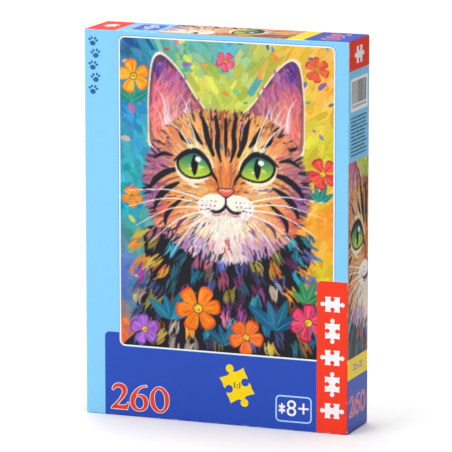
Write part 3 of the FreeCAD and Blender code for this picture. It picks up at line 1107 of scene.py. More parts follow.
    def ear(self, side: float) -> None:
        """One ear, rimmed with light, pink and violet inside with fine pale hairs."""
        for grow, colour, towards in ((1.07, (250, 232, 214), (250, 232, 214)),
                                      (1.0, (96, 60, 84), (170, 110, 90)),
                                      (0.84, (206, 96, 120), (240, 150, 130))):
            self.shape(self.grown_ear(grow), colour, towards, side)
        loop = smooth_loop(self.spread(self.grown_ear(0.86), side))
        glow = self.tones([
            (0.84, -1.36, (96, 60, 150)), (0.62, -1.14, (176, 96, 150)), (0.90, -1.00, (214, 90, 120)),
            (0.74, -0.96, (246, 150, 140)), (0.52, -0.84, (150, 84, 110)), (0.84, -0.66, (244, 120, 110)),
            (0.66, -0.72, (250, 176, 160)), (0.88, -0.44, (200, 90, 110))], (side,))
        for size, count in ((3.4, 130), (1.8, 260)):
            for _ in range(count):
                x, y = self.on_face(self.roll(0.26, 0.96), self.roll(-1.46, -0.4), side)
                if self.inside(loop, x, y):
                    self.dab(x, y, math.pi / 2.0 - side * 0.3 + self.sway(0.4), size * self.roll(1.6, 3.0),
                             size * 0.7, self.vary(glow.at(x, y) * 255.0, 26.0), 0.85)
        for _ in range(26):
            root = self.roll(0.42, 0.80)
            down = -0.50 - self.roll(0.0, 0.22)
            reach = self.roll(0.14, 0.42)
            lean = self.roll(-0.25, 0.45)
            self.line([(root, down), (root + reach * lean * 0.3, down - reach * 0.6),
                       (root + reach * lean, down - reach)], [1.0, 0.6, 0.2],
                      self.chance.choice([(254, 240, 234), (250, 214, 196), (226, 200, 226)]),
                      side, 0.8)

    def head(self) -> None:
        """The head's shape and its fur, which streams away from the nose."""
        whole = self.spread(self.HEAD) + self.spread(self.HEAD[-2:0:-1], -1.0)
        loop = smooth_loop(whole, steps=8)
        self.canvas.patch(whole, (206, 124, 70), 1.0)
        coat = self.tones([
            (0.0, -0.72, (200, 120, 70)), (0.30, -0.66, (246, 170, 84)), (0.66, -0.52, (236, 140, 90)),
            (0.90, -0.20, (166, 96, 130)), (0.95, 0.15, (140, 84, 150)), (0.0, -0.40, (244, 160, 80)),
            (0.22, -0.42, (250, 200, 120)), (0.40, -0.40, (254, 236, 180)), (0.0, -0.12, (226, 116, 56)),
            (0.14, 0.02, (240, 140, 60)), (0.42, 0.04, (254, 232, 180)), (0.66, -0.02, (240, 170, 110)),
            (0.40, 0.22, (250, 180, 90)), (0.66, 0.24, (244, 150, 70)), (0.78, 0.40, (222, 100, 80)),
            (0.58, 0.54, (246, 190, 120)), (0.30, 0.56, (255, 240, 216)), (0.0, 0.74, (255, 236, 220)),
            (0.30, 0.78, (200, 170, 214)), (0.52, 0.72, (190, 140, 190))], SIDES)
        for size, count in ((2.6, 900), (1.5, 1500)):
            placed = 0
            while placed < count:
                x = self.middle_x + self.sway(1.02) * self.half
                y = self.middle_y + self.roll(-0.86, 0.92) * self.half
                if not self.inside(loop, x, y):
                    continue
                placed += 1
                near = math.hypot(x - self.middle_x, y - self.middle_y - 6.0)
                away = math.atan2(y - self.middle_y - 6.0, (x - self.middle_x) * 1.1)
                colour = self.vary(coat.at(x, y) * 255.0, 26.0)
                if self.chance.random() < 0.08:
                    colour = self.vary(self.chance.choice([(90, 70, 150), (30, 110, 160),
                                                           (210, 60, 110), (60, 40, 50)]), 20.0)
                self.dab(x, y, away + self.sway(0.25), 2.0 + near * 0.09 + size,
                         size * self.roll(0.5, 1.1), colour, 0.85)
        for x, y in loop:
            for _ in range(3):
                away = math.atan2(y - self.middle_y, x - self.middle_x)
                away += self.sway(0.45)
                colour = self.vary(coat.at(x, y) * 255.0, 30.0)
                if self.chance.random() < 0.3:
                    colour = self.vary((44, 38, 70), 20.0)
                self.dab(x + math.cos(away), y + math.sin(away), away, self.roll(4.0, 8.5),
                         self.roll(0.9, 2.0), colour, 0.9, 0.2)

    def stripes(self, side: float) -> None:
        """The tabby's stripes on one side: on the forehead, round the eye and on the cheek."""
        ink = self.INK
        for places, widths in (
                ([(0.0, -0.34), (0.0, -0.52), (0.0, -0.78)], [0.8, 2.6, 1.8]),
                ([(0.06, -0.26), (0.11, -0.44), (0.10, -0.60), (0.13, -0.80)], [1.0, 3.4, 3.4, 2.2]),
                ([(0.16, -0.34), (0.23, -0.52), (0.26, -0.66), (0.30, -0.78)], [2.4, 4.0, 3.6, 1.6]),
                ([(0.30, -0.46), (0.38, -0.56), (0.44, -0.68)], [1.4, 3.8, 1.6]),
                ([(0.46, -0.46), (0.55, -0.52), (0.60, -0.62)], [1.2, 3.0, 1.2]),
                ([(0.62, -0.14), (0.76, -0.10), (0.90, 0.00), (0.98, 0.12)], [2.0, 4.2, 4.0, 1.4]),
                ([(0.60, 0.02), (0.74, 0.10), (0.86, 0.22), (0.92, 0.36)], [1.4, 4.0, 4.2, 1.4]),
                ([(0.54, 0.20), (0.66, 0.30), (0.76, 0.42), (0.78, 0.54)], [1.0, 2.8, 3.4, 1.2]),
                ([(0.68, -0.30), (0.80, -0.32), (0.92, -0.26)], [1.2, 2.8, 1.2])):
            self.line(places, widths, ink, side)
        for places, widths, colour in (
                ([(0.05, -0.20), (0.07, -0.08), (0.05, 0.04)], [0.8, 1.8, 0.8], (150, 70, 50)),
                ([(0.17, -0.40), (0.18, -0.56), (0.20, -0.72)], [0.6, 1.2, 0.8], (96, 50, 50)),
                ([(0.56, -0.06), (0.74, 0.00), (0.90, 0.12)], [0.6, 1.4, 0.6], (150, 66, 60)),
                ([(0.50, 0.44), (0.60, 0.52), (0.64, 0.62)], [0.8, 2.2, 0.8], (96, 50, 96))):
            self.line(places, widths, colour, side)

    def eye(self, side: float) -> None:
        """One wide green eye with a narrow pupil and a bright glint."""
        across, down = 0.40, -0.20
        self.spot(across, down + 0.02, (0.245, 0.195), self.CREAM, side, 0.92, 0.12)
        almond = [(0.17, -0.11), (0.24, -0.26), (0.38, -0.37), (0.53, -0.33), (0.63, -0.24),
                  (0.60, -0.12), (0.48, -0.04), (0.32, -0.04)]
        self.shape(almond, self.INK, side=side)
        self.shape([(across + (x - across) * 0.86, down + (y - down) * 0.84) for x, y in almond],
                   (34, 104, 100), (206, 226, 60), side)
        middle = self.on_face(across, down - 0.005, side)
        for _ in range(60):
            turn = self.roll(0.0, 2.0 * math.pi)
            inner = self.roll(0.03, 0.06) * self.half
            outer = self.roll(0.09, 0.14) * self.half
            colour = (226, 236, 90) if math.sin(turn) > 0.0 else (70, 160, 130)
            self.ray(middle, turn, (inner, inner), (outer, outer * 0.85), [0.5, 0.25],
                     self.vary(colour, 20.0), 0.6)
        self.shape([(across, down - 0.13), (across + 0.045, down), (across, down + 0.13),
                    (across - 0.045, down)], (12, 14, 20), side=side)
        x, y = middle
        self.canvas.disc(x + 2.4, y - 3.6, 2.0, 1.6, (250, 252, 254), 0.97, 0.3)
        self.canvas.disc(x - 2.8, y + 2.6, 1.0, 0.7, (220, 240, 220), 0.7)
        self.line([(0.17, -0.11), (0.24, -0.27), (0.38, -0.38), (0.54, -0.34), (0.66, -0.24)],
                  [1.6, 2.8, 3.0, 2.6, 1.0], self.INK, side)
        self.line([(0.17, -0.11), (0.11, -0.02), (0.09, 0.06)], [2.4, 1.6, 0.7], self.INK, side)

    def muzzle(self) -> None:
        """The bridge and tip of the nose, the pale puffs beside it and the closed mouth."""
        self.shape([(0.0, -0.26), (0.08, -0.12), (0.11, 0.06), (0.0, 0.12), (-0.11, 0.06), (-0.08, -0.12)],
                   (244, 170, 100), (232, 120, 60), alpha=0.5)
        for side in SIDES:
            self.spot(0.17, 0.29, (0.20, 0.155), (206, 160, 170), side, 0.9, 0.18)
            self.spot(0.17, 0.275, (0.19, 0.145), (255, 246, 232), side, 1.0, 0.18)
        for _ in range(120):
            x, y = self.on_face(self.sway(0.2), self.roll(0.40, 0.66))
            self.dab(x, y, math.pi / 2.0 - (x - self.middle_x) * 0.05 + self.sway(0.3),
                     self.roll(3.0, 6.0), self.roll(0.8, 1.8), self.vary((254, 240, 226), 14.0), 0.85)
        for side in SIDES:
            for _ in range(130):
                turn = self.roll(-0.5, 1.7)
                reach = self.roll(0.04, 0.20)
                x, y = self.on_face(0.15 + reach * math.cos(turn), 0.28 + reach * 0.8
                                    * math.sin(turn), side)
                tone = self.chance.choice([(255, 250, 244), (250, 224, 200), (226, 206, 232),
                                           (252, 236, 214)])
                away = turn if side > 0.0 else math.pi - turn
                self.dab(x, y, away, self.roll(2.4, 4.6), self.roll(0.6, 1.4), self.vary(tone, 8.0), 0.75)
            for row in range(3):
                for column in range(4):
                    self.spot(0.13 + column * 0.055 + row * 0.01, 0.22 + row * 0.055, (0.012, 0.009),
                              (120, 60, 50), side, 0.85)
        self.shape([(-0.115, 0.075), (-0.05, 0.05), (0.0, 0.06), (0.05, 0.05), (0.115, 0.075),
                    (0.07, 0.135), (0.0, 0.175), (-0.07, 0.135)], self.INK)
        self.shape([(-0.10, 0.08), (-0.05, 0.06), (0.0, 0.07), (0.05, 0.06), (0.10, 0.08),
                    (0.06, 0.13), (0.0, 0.16), (-0.06, 0.13)], (248, 140, 110), (214, 80, 80))
        self.line([(-0.05, 0.078), (0.0, 0.086), (0.05, 0.078)], [0.5, 0.9, 0.5], (255, 206, 180))
        self.line([(0.0, 0.17), (0.0, 0.22), (0.0, 0.27)], [1.2, 1.4, 1.2], self.INK)
        for side in SIDES:
            self.line([(0.0, 0.265), (0.06, 0.33), (0.15, 0.35), (0.24, 0.31)],
                      [1.8, 2.2, 2.0, 0.7], self.INK, side)
            self.line([(0.03, 0.36), (0.12, 0.39), (0.20, 0.37)], [0.5, 1.2, 0.5], (214, 120, 130), side)

    def whiskers(self, side: float) -> None:
        """Long pale whiskers and brows on one side, laid over everything."""
        for root, bend, tip in (((0.20, 0.24), (0.70, 0.12), (1.30, 0.16)),
                                ((0.22, 0.27), (0.74, 0.22), (1.28, 0.36)),
                                ((0.22, 0.30), (0.70, 0.34), (1.16, 0.58)),
                                ((0.20, 0.33), (0.60, 0.46), (0.98, 0.78)),
                                ((0.18, 0.36), (0.46, 0.56), (0.72, 0.94)),
                                ((0.36, -0.42), (0.44, -0.66), (0.56, -0.92)),
                                ((0.44, -0.40), (0.58, -0.60), (0.78, -0.78))):
            self.line([root, bend, tip], [1.0, 0.7, 0.25], (255, 251, 244), side, 0.95)


# The lid's print

@dataclass(frozen=True)
class FacePlane:
    """One outer face of the lid: a corner, and which way is across and up on it."""

    corner: Vector
    across: Vector
    up: Vector

    def put(self, obj: Object, across: float, up: float, lift: float, turn: float = 0.0) -> Object:
        """Lay a flat piece on the face.

        Args:
            obj: the piece, flat about the origin.
            across: where its middle goes, in millimetres from the corner.
            up: the same upwards.
            lift: how far its back stands off the face, in millimetres.
            turn: its turn, in radians, anticlockwise.

        Returns:
            The piece.
        """
        out = self.across.cross(self.up)
        place = self.corner + (self.across * across + self.up * up + out * lift) * MM
        turned = Matrix((self.across, self.up, out)).transposed().to_4x4()
        settle(obj, Matrix.Translation(place) @ turned @ Matrix.Rotation(turn, 4, "Z"))
        return obj


class Inks:
    """One material for each flat ink, made when it is first asked for."""

    def __init__(self) -> None:
        """Start with no inks."""
        self.made: dict[Colour, Material] = {}

    def of(self, colour: Colour) -> Material:
        """The ink of a colour."""
        if colour not in self.made:
            self.made[colour] = PRINT.plain("ink_%02d" % (len(self.made) + 1), colour)
        return self.made[colour]


@dataclass(frozen=True)
class Bands:
    """The colours along a wall of the lid, from one end, each with where it stops."""

    red: float
    sky: float
    art: float
    lemon: float

    def colours(self) -> list[tuple[float, Colour]]:
        """Where each colour stops, in millimetres, and the colour."""
        return [(self.red, SIGNAL_RED), (self.sky, SKY), (self.art, ART_GROUND), (self.lemon, LEMON)]


@dataclass
class LidPrint:
    """All that is printed on the lid: flat colours in its paper, and layers of ink over them."""

    canvas: Canvas
    layer: float = 0.012
    wall_bands: Bands = Bands(18.6, 75.0, 198.0, 211.0)
    top_bands: Bands = Bands(21.0, 49.0, 134.5, 145.0)
    navy_left: float = 13.0
    navy_top: float = 53.5
    tab_left: float = 154.6
    tab_top: float = 96.0
    corner_radius: float = 3.0
    picture: tuple[float, float, float, float] = (24.0, 165.0, 46.0, 240.7)
    art_gap: float = 1.8
    art_cell: float = 0.61
    beyond: float = 10.0
    chance: random.Random = field(default_factory=lambda: random.Random(31))

    def __post_init__(self) -> None:
        """Find the faces of the lid."""
        low, high = self.low, self.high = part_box("lid_cover_paper")
        right, back, up = Vector((1, 0, 0)), Vector((0, 1, 0)), Vector((0, 0, 1))
        self.front = FacePlane(low, right, up)
        self.right = FacePlane(Vector((high.x, low.y, low.z)), back, up)
        self.left = FacePlane(Vector((low.x, high.y, low.z)), -back, up)
        self.top = FacePlane(Vector((low.x, high.y, high.z)), -back, right)
        self.width = (high.x - low.x) / MM
        self.height = (high.z - low.z) / MM
        self.depth = (high.y - low.y) / MM
        self.inks = Inks()
        self.paint_ink = PRINT.painted("painted_ink", "paint")

    def build(self) -> None:
        """Print the lid."""
        self.paper()
        self.front_picture()
        self.red_tab()
        self.count(self.front, "front", 16.6, 37.0, 12.4)
        self.piece_symbol()
        self.age_badge(self.front, "front", 139.5, 13.5, (24.0, 17.0), NAVY, PALE_BLUE)
        self.title_row()
        self.wall(self.right, "right", True)
        self.wall(self.left, "left", False)
        self.top_wall()

    def fix(self, obj: Object, name: str, colour: Colour | None) -> None:
        """Name a printed layer, ink it and let it ride on the lid."""
        obj.name = name
        dress(obj, self.paint_ink if colour is None else self.inks.of(colour))
        hand_over(obj, "lid")

    def lay(self, plane: FacePlane, obj: Object, name: str, colour: Colour, place: Point,
            level: float = 0.4, turn: float = 0.0) -> None:
        """Lay a piece of ink on a face, so many layers up, and fix it there."""
        plane.put(obj, *place, self.layer * level, turn)
        self.fix(obj, name, colour)

    def panel(self, width: float, height: float, radius: float = 0.0,
              corner: Point | None = None) -> Object:
        """A rectangle of ink, in millimetres."""
        return plate("ink", width * MM, height * MM, radius * MM, self.layer * MM, corner)

    def inked(self, curve: Object, grow: float = 0.0) -> Object:
        """A piece of ink with the shape of a curve, grown by so many millimetres."""
        return curve_plate(curve, "ink", self.layer * MM, grow * MM)

    # The paper

    def paper(self) -> None:
        """Colour the lid's paper by which face of the box a point lies on."""
        material, steps, shader = empty_material("lid_paper")
        parts = steps.add("ShaderNodeSeparateXYZ")
        steps.link(place_of(steps), parts.inputs[0])
        x, y, z = parts.outputs
        gaps = {
            "front": steps.maths("SUBTRACT", y, self.low.y),
            "left": steps.maths("SUBTRACT", x, self.low.x),
            "right": steps.maths("SUBTRACT", self.high.x, x),
            "bottom": steps.maths("SUBTRACT", z, self.low.z),
            "top": steps.maths("SUBTRACT", self.high.z, z)}
        walls = self.banded(steps, gaps["top"], self.wall_bands)
        sides = steps.maths("MINIMUM", gaps["left"], gaps["right"])
        ends = steps.maths("MINIMUM", gaps["top"], gaps["bottom"])
        colour = steps.mix(steps.maths("LESS_THAN", gaps["top"], sides), walls,
                           self.banded(steps, gaps["left"], self.top_bands))
        base_paint = steps.mix(steps.maths("LESS_THAN", gaps["left"], self.navy_left * MM),
                               linear(NAVY), linear(SKY))
        colour = steps.mix(steps.maths("LESS_THAN", gaps["bottom"], sides), colour, base_paint)
        nearest = steps.maths("MINIMUM", sides, ends)
        colour = steps.mix(steps.maths("LESS_THAN", gaps["front"], nearest), colour,
                           self.front_colours(steps, gaps))
        self.worn(steps, shader, colour, gaps)
        dress(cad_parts["lid_cover_paper"], material)

    @staticmethod
    def banded(steps: Nodes, along: Feed, bands: Bands) -> NodeSocket:
        """The colours along a wall, from the distance along it."""
        colour = linear(NAVY)
        for stop, paint in reversed(bands.colours()):
            colour = steps.mix(steps.maths("LESS_THAN", along, stop * MM), colour, linear(paint))
        return colour

    def front_colours(self, steps: Nodes, gaps: dict) -> NodeSocket:
        """The front: sky with the navy panel, and the red tab over it."""
        colour = linear(SKY)
        for left, top, paint in ((self.navy_left, self.navy_top, NAVY),
                                 (self.tab_left, self.tab_top, SIGNAL_RED)):
            patch = EFFECTS.place(
                steps, "rounded_patch", Across=gaps["left"], Up=gaps["bottom"], Left=left * MM,
                Right=(self.width + self.beyond) * MM, Bottom=-self.beyond * MM, Top=top * MM,
                Radius=self.corner_radius * MM)
            colour = steps.mix(patch.outputs["Mask"], colour, linear(paint))
        return colour

    @staticmethod
    def worn(steps: Nodes, shader: Node, colour: Feed, gaps: dict) -> None:
        """Ink and varnish over the paper, a little rubbed where it is folded."""
        pairs = [("front", side) for side in ("left", "right", "bottom", "top")]
        pairs += [(side, end) for side in ("left", "right") for end in ("bottom", "top")]
        fold = None
        for first, second in pairs:
            gap = steps.maths("MAXIMUM", gaps[first], gaps[second])
            fold = gap if fold is None else steps.maths("MINIMUM", fold, gap)
        near = steps.smoothstep(fold, 0.0011, 0.0003)
        patchy = steps.noise(place_of(steps), 190.0, 4.0)
        rubbed = steps.smoothstep(patchy, 0.50, 0.72)
        wear = steps.maths("MULTIPLY", near, rubbed)
        share = steps.maths("MULTIPLY", wear, 0.45)
        grain = EFFECTS.place(steps, "ink_grain", Where=place_of(steps), Amount=0.05)
        inked = tinted(steps, colour, grain.outputs["Tone"])
        rough = steps.maths("ADD", grain.outputs["Gloss"], PRINT.roughness)
        steps.feed(shader, Base_Color=steps.mix(share, inked, linear((236, 238, 240))),
                   Roughness=steps.maths("MULTIPLY_ADD", wear, 0.3, rough),
                   Specular_IOR_Level=PRINT.specular)
        bump(steps, shader, grain.outputs["Height"], 0.00004, PRINT.ripple)

    # The front

    def painted_sheet(self, name: str, plane: FacePlane, size: Point, where: Point,
                      window: tuple[float, float, float, float], radius: float = 0.0,
                      level: float = 0.4) -> None:
        """A thin sheet that carries part of the painting.

        Args:
            name: the piece's name.
            plane: the face that it lies on.
            size: its width and height in millimetres.
            where: its middle on the face.
            window: the left, top, right and bottom of the painting's part.
            radius: of its corners.
            level: how many layers its back stands off the face.
        """
        width, height = size
        obj = fresh(bpy.ops.mesh.primitive_grid_add, name, size=1.0,
                    x_subdivisions=round(width / self.art_cell), y_subdivisions=round(height / self.art_cell))
        mesh = obj.data
        places = places_of(mesh)
        colours = lit(self.canvas.sample(
            window[0] + (places[:, 0] + 0.5) * (window[2] - window[0]),
            window[1] + (0.5 - places[:, 1]) * (window[3] - window[1])))
        attribute = mesh.color_attributes.new("paint", "FLOAT_COLOR", "POINT")
        attribute.data.foreach_set(
            "color", np.column_stack([colours, np.ones(len(places))]).astype(np.float32).ravel())
        places[:, 0] *= width * MM
        places[:, 1] *= height * MM
        round_off = radius * MM
        past = np.maximum(np.abs(places[:, :2]) - np.array([width, height]) * MM / 2.0 + round_off, 0.0)
        reach = np.hypot(past[:, 0], past[:, 1])
        shrink = np.where(reach > round_off, round_off / np.maximum(reach, 1e-9), 1.0)
        places[:, :2] -= np.sign(places[:, :2]) * past * (1.0 - shrink)[:, None]
        move_to(mesh, places)
        with editing(obj):
            bpy.ops.mesh.remove_doubles(threshold=5.0 * MERGE)
            bpy.ops.mesh.dissolve_degenerate(threshold=5.0 * MERGE)
            bpy.ops.mesh.select_all(action="DESELECT")
            bpy.ops.mesh.select_mode(type="EDGE")
            bpy.ops.mesh.select_non_manifold()
            back = {"value": (0.0, 0.0, -self.layer * MM)}
            bpy.ops.mesh.extrude_edges_move(TRANSFORM_OT_translate=back)
            bpy.ops.mesh.edge_face_add()
            bpy.ops.mesh.select_mode(type="VERT")
            close_up(MERGE)
        plane.put(obj, *where, self.layer * level + self.layer)
        self.fix(obj, name, None)

    def front_picture(self) -> None:
        """The picture, with a white line and a thin blue one round it."""
        left, right, bottom, top = self.picture
        middle = ((left + right) / 2.0, (bottom + top) / 2.0)
        width, height = right - left, top - bottom
        for index, (name, grow, colour) in enumerate((
                ("picture_blue_line", 1.3, (64, 150, 214)), ("picture_white_line", 0.9, CARD_WHITE))):
            line = self.panel(width + 2.0 * grow, height + 2.0 * grow, self.corner_radius + grow)
            self.lay(self.front, line, name, colour, middle, 0.3 + index)
        self.painted_sheet("picture_front", self.front, (width, height), middle,
                           (0.0, 0.0, self.canvas.width, self.canvas.height), self.corner_radius, 2.3)

    def red_tab(self) -> None:
        """The red tab over the picture's corner, with a column of white puzzle pieces."""
        right = self.width - 1.2
        bottom = 1.2
        width, height = right - self.tab_left, self.tab_top - bottom
        tab = self.panel(width, height, self.corner_radius, (-1.0, 1.0))
        self.lay(self.front, tab, "red_tab", SIGNAL_RED,
                 (self.tab_left + width / 2.0, bottom + height / 2.0), 3.6)
        self.piece_column("tab_pieces", self.front, (self.tab_left + self.width) / 2.0,
                          [14.5 + step * 16.8 for step in range(5)], 13.5, 4.7)

    def piece_column(self, name: str, plane: FacePlane, across: float, heights: list[float],
                     size: float, level: float = 0.4) -> None:
        """A column of small puzzle pieces in white, each turned a quarter more."""
        parts = []
        for index, height in enumerate(heights):
            outline = jigsaw_outline(size * 0.72 * MM, UPRIGHT if index % 2 else LYING)
            parts.append(plane.put(self.inked(outline.curve()), across, height, self.layer * level))
        self.fix(join(parts), name, CARD_WHITE)

    def count(self, plane: FacePlane, where: str, size: float, across: float, up: float) -> None:
        """The count of pieces in red figures with a white line round them."""
        for index, (part, grow, colour) in enumerate((("line", 0.42, CARD_WHITE),
                                                      ("figures", 0.0, DIGIT_RED))):
            name = where + "_count_" + part
            parts = [self.inked(curve, grow * size / 18.0) for curve in figures("260", size * MM)]
            self.lay(plane, join(parts), name, colour, (across, up), 0.4 + index * 1.3)

    def piece_symbol(self) -> None:
        """A yellow puzzle piece at its true size, with its scale on it."""
        middle = (102.0, 25.5)
        shape = self.inked(jigsaw_outline(17.6 * MM, UPRIGHT).curve())
        self.lay(self.front, shape, "piece_symbol", LEMON, middle, turn=math.radians(25.0))
        scale = self.inked(small_figures("1:1", 5.0 * MM), 0.16)
        self.lay(self.front, scale, "piece_scale", OLIVE, middle, 1.6)

    def age_badge(self, plane: FacePlane, where: str, across: float, up: float, size: Point,
                  inner: Colour, line: Colour) -> None:
        """A rounded badge with the age from which the puzzle suits."""
        for index, (name, shrink, colour) in enumerate(((where + "_badge_line", 0.0, line),
                                                        (where + "_badge", 1.0, inner))):
            panel = self.panel(size[0] - 2.0 * shrink, size[1] - 2.0 * shrink, 3.0 - shrink)
            self.lay(plane, panel, name, colour, (across, up), 0.4 + index * 1.2)
        age = self.inked(small_figures("8+", size[1] * 0.86 * MM))
        self.lay(plane, age, where + "_age", CARD_WHITE, (across + size[0] * 0.12, up), 2.8)
        mark = self.inked(jigsaw_outline(4.2 * MM, UPRIGHT).curve())
        self.lay(plane, mark, where + "_badge_piece", CARD_WHITE, (across - size[0] * 0.32, up), 2.8)

    def title_row(self) -> None:
        """A row of paw prints up the left margin."""
        parts = []
        for index in range(5):
            way = 1.0 if index % 2 else -1.0
            parts.append(self.front.put(self.inked(paw(6.4 * MM).curve()), 6.8 + 0.9 * way,
                                        206.5 + index * 7.6, self.layer * 0.4, math.radians(8.0 * way)))
        self.fix(join(parts), "title_paws", TITLE_BLUE)

    # The walls

    def strip(self, plane: FacePlane, where: str, bands: Bands, up: float, start: Point) -> None:
        """A strip of the painting on a wall, from a place on the canvas on."""
        width, height = self.depth - self.art_gap, bands.art - bands.sky
        self.painted_sheet("picture_" + where, plane, (width, height), (self.depth / 2.0, up),
                           (*start, start[0] + width, start[1] + height))

    def wall(self, plane: FacePlane, where: str, label: bool) -> None:
        """The print on a long wall: a strip of the painting, the count and small marks."""
        bands = self.wall_bands
        middle = self.depth / 2.0
        self.strip(plane, where, bands, self.height - (bands.sky + bands.art) / 2.0,
                   (34.0 if label else 72.0, 30.0))
        self.count(plane, where, 12.6, middle, 16.5)
        self.piece_column(where + "_pieces", plane, middle, [self.height - 9.6], 15.0)
        if label:
            self.bar_label(plane, middle)
            self.small_print(plane, middle)
        size = self.inked(small_figures("32 x 23", 5.6 * MM), 0.12)
        self.lay(plane, size, where + "_size", NAVY,
                 (middle, self.height - (bands.art + bands.lemon) / 2.0))

    def bar_label(self, plane: FacePlane, middle: float) -> None:
        """A white label with bars of chance widths, which stand for no number."""
        top, bottom, width = 23.5, 44.0, 31.0
        up = self.height - (top + bottom) / 2.0
        self.lay(plane, self.panel(width, bottom - top, 0.6), "bar_label", CARD_WHITE, (middle, up))
        bars = []
        place = -width / 2.0 + 2.4
        while place < width / 2.0 - 2.6:
            thick = self.chance.choice([0.4, 0.4, 0.8, 1.2])
            bars.append(plane.put(self.panel(thick, 14.0), middle + place + thick / 2.0, up + 1.5,
                                  self.layer * 1.6))
            place += thick + self.chance.choice([0.4, 0.4, 0.8])
        for index in range(9):
            bars.append(plane.put(self.panel(1.5, 1.5, 0.5), middle - 11.6 + index * 2.9, up - 7.2,
                                  self.layer * 1.6))
        self.fix(join(bars), "bars", BLACK)

    def small_print(self, plane: FacePlane, middle: float) -> None:
        """Rows of short dashes where the small print would be."""
        dashes = []
        for row in range(11):
            up = self.height - 48.0 - row * 2.3
            place = middle - 15.0
            end = middle + self.chance.uniform(9.0, 15.0)
            while place < end:
                length = min(self.chance.uniform(1.4, 5.0), max(end - place, 0.7))
                dashes.append(plane.put(self.panel(length, 1.0), place + length / 2.0, up,
                                        self.layer * 0.4))
                place += length + 0.8
        self.fix(join(dashes), "small_print", SMALL_PRINT)

    def top_wall(self) -> None:
        """The print on the top, which reads from the right."""
        bands = self.top_bands
        middle = self.depth / 2.0
        self.strip(self.top, "top", bands, (bands.sky + bands.art) / 2.0, (34.0, 44.0))
        self.count(self.top, "top", 12.0, middle, (bands.lemon + self.width) / 2.0)
        self.age_badge(self.top, "top", middle, 37.0, (24.0, 17.0), VIOLET, VIOLET)
        self.piece_column("top_pieces", self.top, middle, [11.0], 12.0)


# The boards, the tray and what is in it

@dataclass
class Boards:
    """The greyboard blanks, the tape at their corners and the tray's plain paper."""

    halves: tuple[str, str] = ("lid", "tray")

    def build(self) -> None:
        """Dress the CAD nodes that keep their own shape."""
        board = GREYBOARD.material("greyboard")
        tape = STAY_TAPE.material("stay_tape")
        dress(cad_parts["tray_cover_paper"], TRAY_PAPER.material("tray_paper"))
        for half in self.halves:
            dress(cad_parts[half + "_board"], board)
            for end in ("bottom", "top"):
                for side in ("left", "right"):
                    dress(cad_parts["%s_stay_%s_%s" % (half, end, side)], tape)
            LOG.info("%s board and stays dressed", half)


